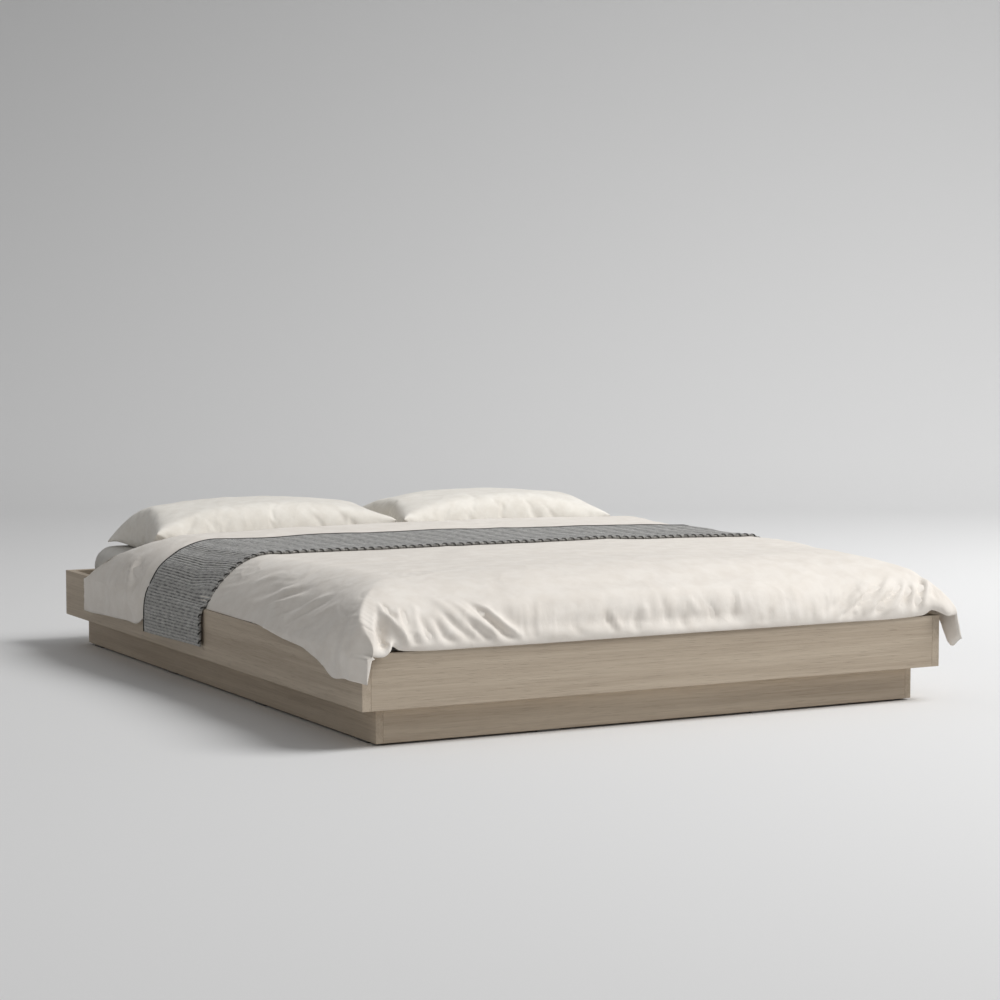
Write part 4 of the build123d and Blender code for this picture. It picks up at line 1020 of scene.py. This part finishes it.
def throwPath(t):
    # rows: across the band from near to far; columns: evenly spaced along the cloth from the left hem
    near, far = np.array(throw["near"]), np.array(throw["far"])
    knots = np.arange(len(near), dtype=float)
    dense = np.linspace(0, len(near) - 1, throw["lineSamples"])
    lineNear = np.stack([through(knots, near[:, k], dense) for k in (0, 1)], axis=-1)
    lineFar = np.stack([through(knots, far[:, k], dense) for k in (0, 1)], axis=-1)
    rows, lengths = [], []
    for v in np.linspace(0, 1, throw["cells"] + 1):
        left = mixed(lineNear, lineFar, smooth(0, 1, v))
        right = rightSection(v)
        path = np.concatenate([left[left[:, 0] < 0], right[right[:, 0] > throw["rightFrom"]]])
        walked = np.concatenate([[0], np.cumsum(np.linalg.norm(np.diff(path, axis=0), axis=1))])
        x, z = (np.interp(t * walked[-1], walked, path[:, k]) for k in (0, 1))
        rows.append(np.stack([x, throwY(x, v), z], axis=-1))
        lengths.append(walked[-1])
    return np.stack(rows), float(np.mean(lengths))


def duvetHeight(x, y):
    # height of the duvet above each point, read across its two nearest rows
    low, part = rowsAt(y)
    heights = []
    for offset in (0, 1):
        found = np.zeros_like(x)
        for k in np.unique(low):
            here = low == k
            found[here] = np.interp(x[here], surface[k + offset, :, 0], surface[k + offset, :, 2])
        heights.append(found)
    return mixed(heights[0], heights[1], part)


along = np.linspace(0, 1, throw["ribs"] * throw["ribCells"] + 1)
band, reachLength = throwPath(along)
bandX = band[..., 0]
covered = duvetHeight(bandX, band[..., 1]) + throw["thickness"] + throw["clearance"]
overBed = smooth(*throw["bedFrom"], bandX) * (bandX < throw["bedTo"])
onTop = smooth(*throw["topFrom"], bandX) * (1 - smooth(*throw["topTo"], bandX))
atLeast = np.maximum(band[..., 2], mixed(band[..., 2], covered, overBed))
band[..., 2] = mixed(atLeast, covered, onTop)
bandNormals = gridNormals(band)
across = np.linspace(0, 1, throw["cells"] + 1)[:, None]
fromBorder = np.minimum(across, 1 - across) * throw["width"]
fromHem = np.minimum(along, 1 - along)[None, :] * reachLength
ribbed = smooth(*throw["plainBorder"], fromBorder) * smooth(*throw["plainHem"], fromHem)
rib = np.abs(np.sin(math.pi * along * throw["ribs"]))[None, :] ** throw["ribPower"]
relief = throw["ribHeight"] * rib * ribbed
outer = band + bandNormals * relief[..., None]
inner = coarse(band - bandNormals * throw["thickness"], throw["step"])
points, faces = closedShell(outer, inner, throw["step"])
uvOuter = np.stack(np.broadcast_arrays(along[None, :] * reachLength, across * throw["width"]), axis=-1)
uv = np.concatenate([uvOuter.reshape(-1, 2), coarse(uvOuter, throw["step"]).reshape(-1, 2)])


def knitMaterial():
    # stocking stitch: along each rib, slanted bumps that lean one way and then the other. The base colour is
    # painted darker in the gaps between the ribs and between the loops, as painted shade of the grooves, and
    # how deep that painted shade goes changes every dash length
    material, tree, shader = newMaterial("throwKnit")
    source = addNode(tree, "ShaderNodeUVMap", uv_map="Cloth")
    split = addNode(tree, "ShaderNodeSeparateXYZ", {0: source.outputs[0]})
    along, across = split.outputs["X"], split.outputs["Y"]
    pitch = throw["knitPitch"]
    inRib = maths(tree, "FRACT", maths(tree, "DIVIDE", along, pitch))
    bulge = maths(tree, "SINE", maths(tree, "MULTIPLY", inRib, math.pi))
    lean = maths(tree, "ABSOLUTE", maths(tree, "SUBTRACT", inRib, 0.5))
    count = maths(tree, "DIVIDE", across, pitch * throw["loopShare"])
    slant = maths(tree, "ADD", count, maths(tree, "MULTIPLY", lean, throw["loopSlant"]))
    loop = maths(tree, "ABSOLUTE", maths(tree, "SINE", maths(tree, "MULTIPLY", slant, math.pi)))
    height = maths(tree, "MULTIPLY", bulge, maths(tree, "POWER", loop, throw["loopPower"]))
    fuzz = addNode(tree, "ShaderNodeTexNoise", {
        "Vector": source.outputs[0], "Scale": throw["fuzzScale"], "Detail": 3.0, "Roughness": 0.7})
    blotch = addNode(tree, "ShaderNodeTexNoise", {
        "Vector": source.outputs[0], "Scale": throw["blotchScale"], "Detail": 2.0})
    whole = maths(tree, "ADD", height, maths(tree, "MULTIPLY", fuzz.outputs["Fac"], throw["fuzz"]))
    cells = addNode(tree, "ShaderNodeCombineXYZ", {
        0: maths(tree, "DIVIDE", along, pitch), 1: maths(tree, "DIVIDE", across, throw["dashLength"])})
    dashes = addNode(tree, "ShaderNodeTexNoise", {"Vector": cells.outputs[0], "Scale": 1.0, "Detail": 0.0})
    # painted shade: the gaps between the ribs and loops are darkened towards the near-black shade colour,
    # deeper in some dashes than in others
    shadeDepth = ranged(tree, dashes.outputs["Fac"], *throw["shadeDepthFrom"], *throw["shadeDepthTo"])
    paintedShade = maths(tree, "MULTIPLY", maths(tree, "SUBTRACT", 1.0, height), shadeDepth)
    uneven = ranged(tree, blotch.outputs["Fac"], *throw["blotchFrom"], *throw["blotchTo"])
    share = maths(tree, "MULTIPLY", maths(tree, "SUBTRACT", 1.0, paintedShade), uneven, clamp=True)
    tree.links.new(blended(tree, share, linear(*throw["grooveShade"]), linear(*throw["yarn"])),
                   shader.inputs["Base Color"])
    bump = addNode(tree, "ShaderNodeBump", {
        "Height": whole, "Distance": throw["knitDepth"], "Strength": throw["bumpStrength"]})
    tree.links.new(bump.outputs[0], shader.inputs["Normal"])
    shader.inputs["Roughness"].default_value = throw["roughness"]
    shader.inputs["Sheen Weight"].default_value = throw["sheen"]
    shader.inputs["Sheen Roughness"].default_value = throw["sheenRoughness"]
    shader.inputs["Specular IOR Level"].default_value = throw["gloss"]
    return material


throwPiece = makePiece("knitThrow", points, faces, knitMaterial(), uv=uv)
placed(throwPiece, "throw_wool", "throw")


def tubes(paths, radius, sides=7):
    # each path is a row of points; rings of the radius are set square to it, and its ends are capped
    points, faces = [], []
    angle = np.arange(sides) / sides * 2 * math.pi
    for path in paths:
        path = np.asarray(path, float)
        heading = np.gradient(path, axis=0)
        heading /= np.linalg.norm(heading, axis=1, keepdims=True)
        upright = np.abs(heading[:, 2:3]) > 0.9  # there the side is square to X, elsewhere to Z
        side = np.cross(heading, np.where(upright, [[1.0, 0, 0]], [[0, 0, 1.0]]))
        side /= np.linalg.norm(side, axis=1, keepdims=True)
        up = np.cross(side, heading)
        ring = path[:, None] + radius * (np.cos(angle)[None, :, None] * side[:, None]
                                         + np.sin(angle)[None, :, None] * up[:, None])
        first = len(points)
        points += ring.reshape(-1, 3).tolist() + [path[0].tolist(), path[-1].tolist()]
        n = len(path)
        i, j = np.meshgrid(np.arange(n - 1), np.arange(sides), indexing="ij")
        a, b = first + i * sides + j, first + i * sides + (j + 1) % sides
        faces += np.stack([a, b, b + sides, a + sides], axis=-1).reshape(-1, 4).tolist()
        faces += [(first + (j + 1) % sides, first + j, first + n * sides) for j in range(sides)]
        base = first + (n - 1) * sides
        faces += [(base + j, base + (j + 1) % sides, first + n * sides + 1) for j in range(sides)]
    return points, faces


edgeYarn = speckled("edgeYarn", **throw["edge"])
# dark cord along the far border: partly the dark edging yarn, partly painted shade standing for the shaded
# thickness of that edge
sunkIn = throw["thickness"] * throw["cordSunk"]
farEdge = (band[-1] - bandNormals[-1] * sunkIn)[::throw["cordStep"]]
points, faces = tubes([farEdge], throw["cordRadius"])
cordPiece = makePiece("throwCord", points, faces, edgeYarn)
placed(cordPiece, "throw_wool")
# each stitch starts on the band, leans along it to the border and goes down over its edge
stitchCount = int(reachLength / throw["stitchPitch"])
starts = (np.arange(stitchCount) + throw["stitchStart"]) * throw["stitchPitch"]
steps = np.linspace(0, 1, throw["stitchPlaces"])
inside, lift = np.interp(steps, *throw["stitchIn"]), np.interp(steps, *throw["stitchUp"])
walk = along * reachLength
innerRow = throw["stitchRow"]
inShare = inside / (innerRow * throw["width"] / throw["cells"])


def bandAt(row, at):
    # the places of one row of the band, or of its normals, at lengths along the cloth
    return np.stack([np.interp(at, walk, row[:, k]) for k in range(3)], axis=-1)


stitchPaths = []
for start in starts:
    at = start + throw["stitchLean"] * steps
    border, inner = bandAt(band[0], at), bandAt(band[innerRow], at)
    facing = bandAt(bandNormals[0], at)
    stitchPaths.append(border + (inner - border) * inShare[:, None] + facing * lift[:, None])
points, faces = tubes(stitchPaths, throw["stitchRadius"], throw["stitchSides"])
stitchPiece = makePiece("throwStitches", points, faces, edgeYarn)
placed(stitchPiece, "throw_wool")

# Pillows: two layers sewn round the edge, filled by a short cloth simulation, then set down on the sheet
pillow = {
    "cells": (110, 66), "cut": (0.755, 0.445), "lens": 0.030, "lump": 0.003, "lumpCell": 0.06, "lumpShift": 3,
    "frames": 15, "quality": 5, "pressure": 4.0, "mass": 0.3, "stiffness": 15.0, "shearShare": 0.4,
    "bending": 0.5, "seamHeight": 0.024, "settle": 0.055, "overhang": 0.012, "clearance": 0.0008,
    "color": (236, 232, 224), "shade": (228, 223, 214), "creases": (6, 30, 0.0025), "sheen": 0.2,
    # seed, then seam heights over the sheet: front left, front right, rear left, rear right
    "near": (61, (0.064, 0.078, 0.006, 0.030)), "far": (67, (0.078, 0.064, 0.055, 0.020)),
}


def sewnLayers(upper, lower):
    # upper grid kept whole, lower grid without its rim, which it shares with the upper one
    rows, cols = upper.shape[:2]
    ids = np.arange(rows * cols).reshape(rows, cols)
    below = ids.copy()
    inside = np.zeros((rows, cols), bool)
    inside[1:-1, 1:-1] = True
    below[inside] = rows * cols + np.arange(inside.sum())
    top = np.stack([ids[:-1, :-1], ids[:-1, 1:], ids[1:, 1:], ids[1:, :-1]], axis=-1)
    bottom = np.stack([below[:-1, :-1], below[1:, :-1], below[1:, 1:], below[:-1, 1:]], axis=-1)
    points = np.concatenate([upper.reshape(-1, 3), lower[inside]])
    return points, np.concatenate([top.reshape(-1, 4), bottom.reshape(-1, 4)])


def meshPoints(mesh):
    # the mesh's points as rows of x, y and z
    found = np.empty(len(mesh.vertices) * 3, np.float32)
    mesh.vertices.foreach_get("co", found)
    return found.reshape(-1, 3).astype(float)


def filledByCloth(points, faces, spec):
    # air pressure swells the sewn layers, and the points of the last frame are read back
    scene = bpy.context.scene
    mesh = bpy.data.meshes.new("filling")
    mesh.from_pydata(points.tolist(), [], faces.tolist())
    bag = bpy.data.objects.new("filling", mesh)
    scene.collection.objects.link(bag)
    cloth = bag.modifiers.new("fill", "CLOTH")
    how = cloth.settings
    how.quality, how.mass = spec["quality"], spec["mass"]
    how.tension_stiffness = how.compression_stiffness = spec["stiffness"]
    how.shear_stiffness, how.bending_stiffness = spec["stiffness"] * spec["shearShare"], spec["bending"]
    how.use_pressure, how.uniform_pressure_force = True, spec["pressure"]
    how.effector_weights.gravity = 0
    cloth.point_cache.frame_start, cloth.point_cache.frame_end = 1, spec["frames"] + 2
    for number in range(1, spec["frames"] + 1):
        scene.frame_set(number)
    swollen = bag.evaluated_get(bpy.context.evaluated_depsgraph_get())
    found = meshPoints(swollen.to_mesh())
    swollen.to_mesh_clear()
    bpy.data.objects.remove(bag)
    scene.frame_set(1)
    return found


pillowCotton = clothMaterial("pillowCotton", pillow)


def makePillow(name, node, seed, corners):
    # the layers swell by sqrt((1 - u^4)(1 - v^4)), which is 1 in the middle and 0 at the seam
    low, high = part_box(node)
    cols, rows = pillow["cells"]
    wide, deep = pillow["cut"]
    v, u = np.meshgrid(np.linspace(-1, 1, rows + 1), np.linspace(-1, 1, cols + 1), indexing="ij")
    swell = ((1 - u**4) * (1 - v**4)) ** 0.5
    x, y = u * wide / 2, v * deep / 2
    cell, shift = pillow["lumpCell"], pillow["lumpShift"]
    uneven = pillow["lump"] * softNoise(x + shift, y + shift, cell, cell, seed) * swell
    upper = np.stack([x, y, pillow["lens"] * swell + uneven], axis=-1)
    lower = np.stack([x, y, -pillow["lens"] * swell + uneven], axis=-1)
    points, faces = sewnLayers(upper, lower)
    points = filledByCloth(points, faces, pillow)
    # its weight: the lower layer lies flat, the seam stands a little above it and sinks at the corners
    least, most = points.min(axis=0), points.max(axis=0)
    share = (points - least) / (most - least)
    u, v = 2 * share[:, 0] - 1, 2 * share[:, 1] - 1
    frontLeft, frontRight, rearLeft, rearRight = corners
    front, rear = mixed(frontLeft, frontRight, share[:, 0]), mixed(rearLeft, rearRight, share[:, 0])
    atCorner = mixed(front, rear, share[:, 1])
    seam = mixed(pillow["seamHeight"], atCorner, u**2 * v**2)
    above = seam + np.maximum(points[:, 2], 0) * (high.z - low.z - pillow["seamHeight"]) / most[2]
    under = seam * (1 - smooth(0, pillow["settle"], -points[:, 2]))
    points[:, 0] = mixed(low.x, high.x + pillow["overhang"], share[:, 0])
    points[:, 1] = mixed(low.y, high.y, share[:, 1])
    points[:, 2] = sheetTop + pillow["clearance"] + np.where(points[:, 2] > 0, above, under)
    piece = makePiece(name, points, faces, pillowCotton)
    finer = piece.modifiers.new("finer", "SUBSURF")
    finer.levels = finer.render_levels = 1
    placed(piece, "pillow_cotton", node)


makePillow("pillowNear", "pillow_left", *pillow["near"])
makePillow("pillowFar", "pillow_right", *pillow["far"])
print("pillows done")

# Camera at the photograph's place, and the studio
camera = {
    "place": (-3.1413, -6.1634, 0.98136), "yaw": 27.739, "pitch": 4.252, "lens": 91.34, "sensor": 36.0,
    "farthest": 60,
}
data = bpy.data.cameras.new("camera")
data.lens, data.sensor_width = camera["lens"], camera["sensor"]
data.clip_end = camera["farthest"]
eye = bpy.data.objects.new("camera", data)
eye.location = camera["place"]
eye.rotation_euler = (math.radians(90 - camera["pitch"]), 0, -math.radians(camera["yaw"]))
bpy.context.scene.collection.objects.link(eye)
bpy.context.scene.camera = eye

studio = {
    "floorHalf": 14.0, "wallFront": 5.5, "bend": 3.0, "wallHeight": 9.0, "columns": 60,
    "keyPower": 545.0, "keySize": 4.4, "keyPlace": (4.0, -3.4, 6.3), "keyAim": (0.0, 0.0, 0.2),
    "wallPower": 150.0, "wallSize": 6.0, "wallPlace": (4.8, 0.0, 4.6), "wallAim": (5.4, 6.5, 2.6),
    # the world's strength; the sweep's pale grey, the darker grey painted up the wall as painted shade, and
    # the heights over which that painted shade comes in
    "world": 0.29, "wallPale": (226, 226, 226), "wallPaintedShade": (186, 186, 186), "paintedShadeHeights": (0.2, 3.6),
    "bendRows": 24, "roughness": 0.9,
}


def areaLight(name, place, aim, power, size):
    lamp = bpy.data.lights.new(name, "AREA")
    lamp.energy, lamp.size, lamp.shape = power, size, "DISK"
    made = bpy.data.objects.new(name, lamp)
    made.location = place
    made.rotation_euler = (Vector(aim) - Vector(place)).to_track_quat("-Z", "Y").to_euler()
    bpy.context.scene.collection.objects.link(made)


areaLight("key", studio["keyPlace"], studio["keyAim"], studio["keyPower"], studio["keySize"])
areaLight("wall", studio["wallPlace"], studio["wallAim"], studio["wallPower"], studio["wallSize"])

world = bpy.data.worlds.new("studio")
world.use_nodes = True
world.node_tree.nodes["Background"].inputs["Color"].default_value = (1, 1, 1, 1)
world.node_tree.nodes["Background"].inputs["Strength"].default_value = studio["world"]
bpy.context.scene.world = world

# Sweep: floor, quarter-round bend and wall, turned to face the camera.
# Its grey is painted darker with height up the bend and wall, as painted shade
yaw = math.radians(camera["yaw"])
toView, toRight = np.array([math.sin(yaw), math.cos(yaw)]), np.array([math.cos(yaw), -math.sin(yaw)])
bendT = np.linspace(0, math.pi / 2, studio["bendRows"])
depths = np.concatenate([[-studio["floorHalf"], 0.0], studio["wallFront"] + studio["bend"] * np.sin(bendT),
                         [studio["wallFront"] + studio["bend"]]])
heights = np.concatenate([[0.0, 0.0], studio["bend"] * (1 - np.cos(bendT)), [studio["wallHeight"]]])
lateral = np.linspace(-studio["floorHalf"], studio["floorHalf"], studio["columns"])
sweep = np.zeros((len(depths), len(lateral), 3))
sweep[..., :2] = depths[:, None, None] * toView + lateral[None, :, None] * toRight
sweep[..., 2] = heights[:, None]
sweepMaterial, tree, shader = newMaterial("studioSweep")
source = addNode(tree, "ShaderNodeTexCoord")
split = addNode(tree, "ShaderNodeSeparateXYZ", {0: source.outputs["Object"]})
# painted shade: the sweep darkens from its pale grey to the darker grey with height
paintedShadeShare = ranged(tree, split.outputs["Z"], *studio["paintedShadeHeights"], 0, 1)
greys = blended(tree, paintedShadeShare, linear(*studio["wallPale"]), linear(*studio["wallPaintedShade"]))
tree.links.new(greys, shader.inputs["Base Color"])
shader.inputs["Roughness"].default_value = studio["roughness"]
sweepPiece = makePiece("studioSweep", sweep.reshape(-1, 3), gridFaces(*sweep.shape[:2]), sweepMaterial)

bpy.context.scene.view_settings.view_transform = "Standard"
print("studio done")
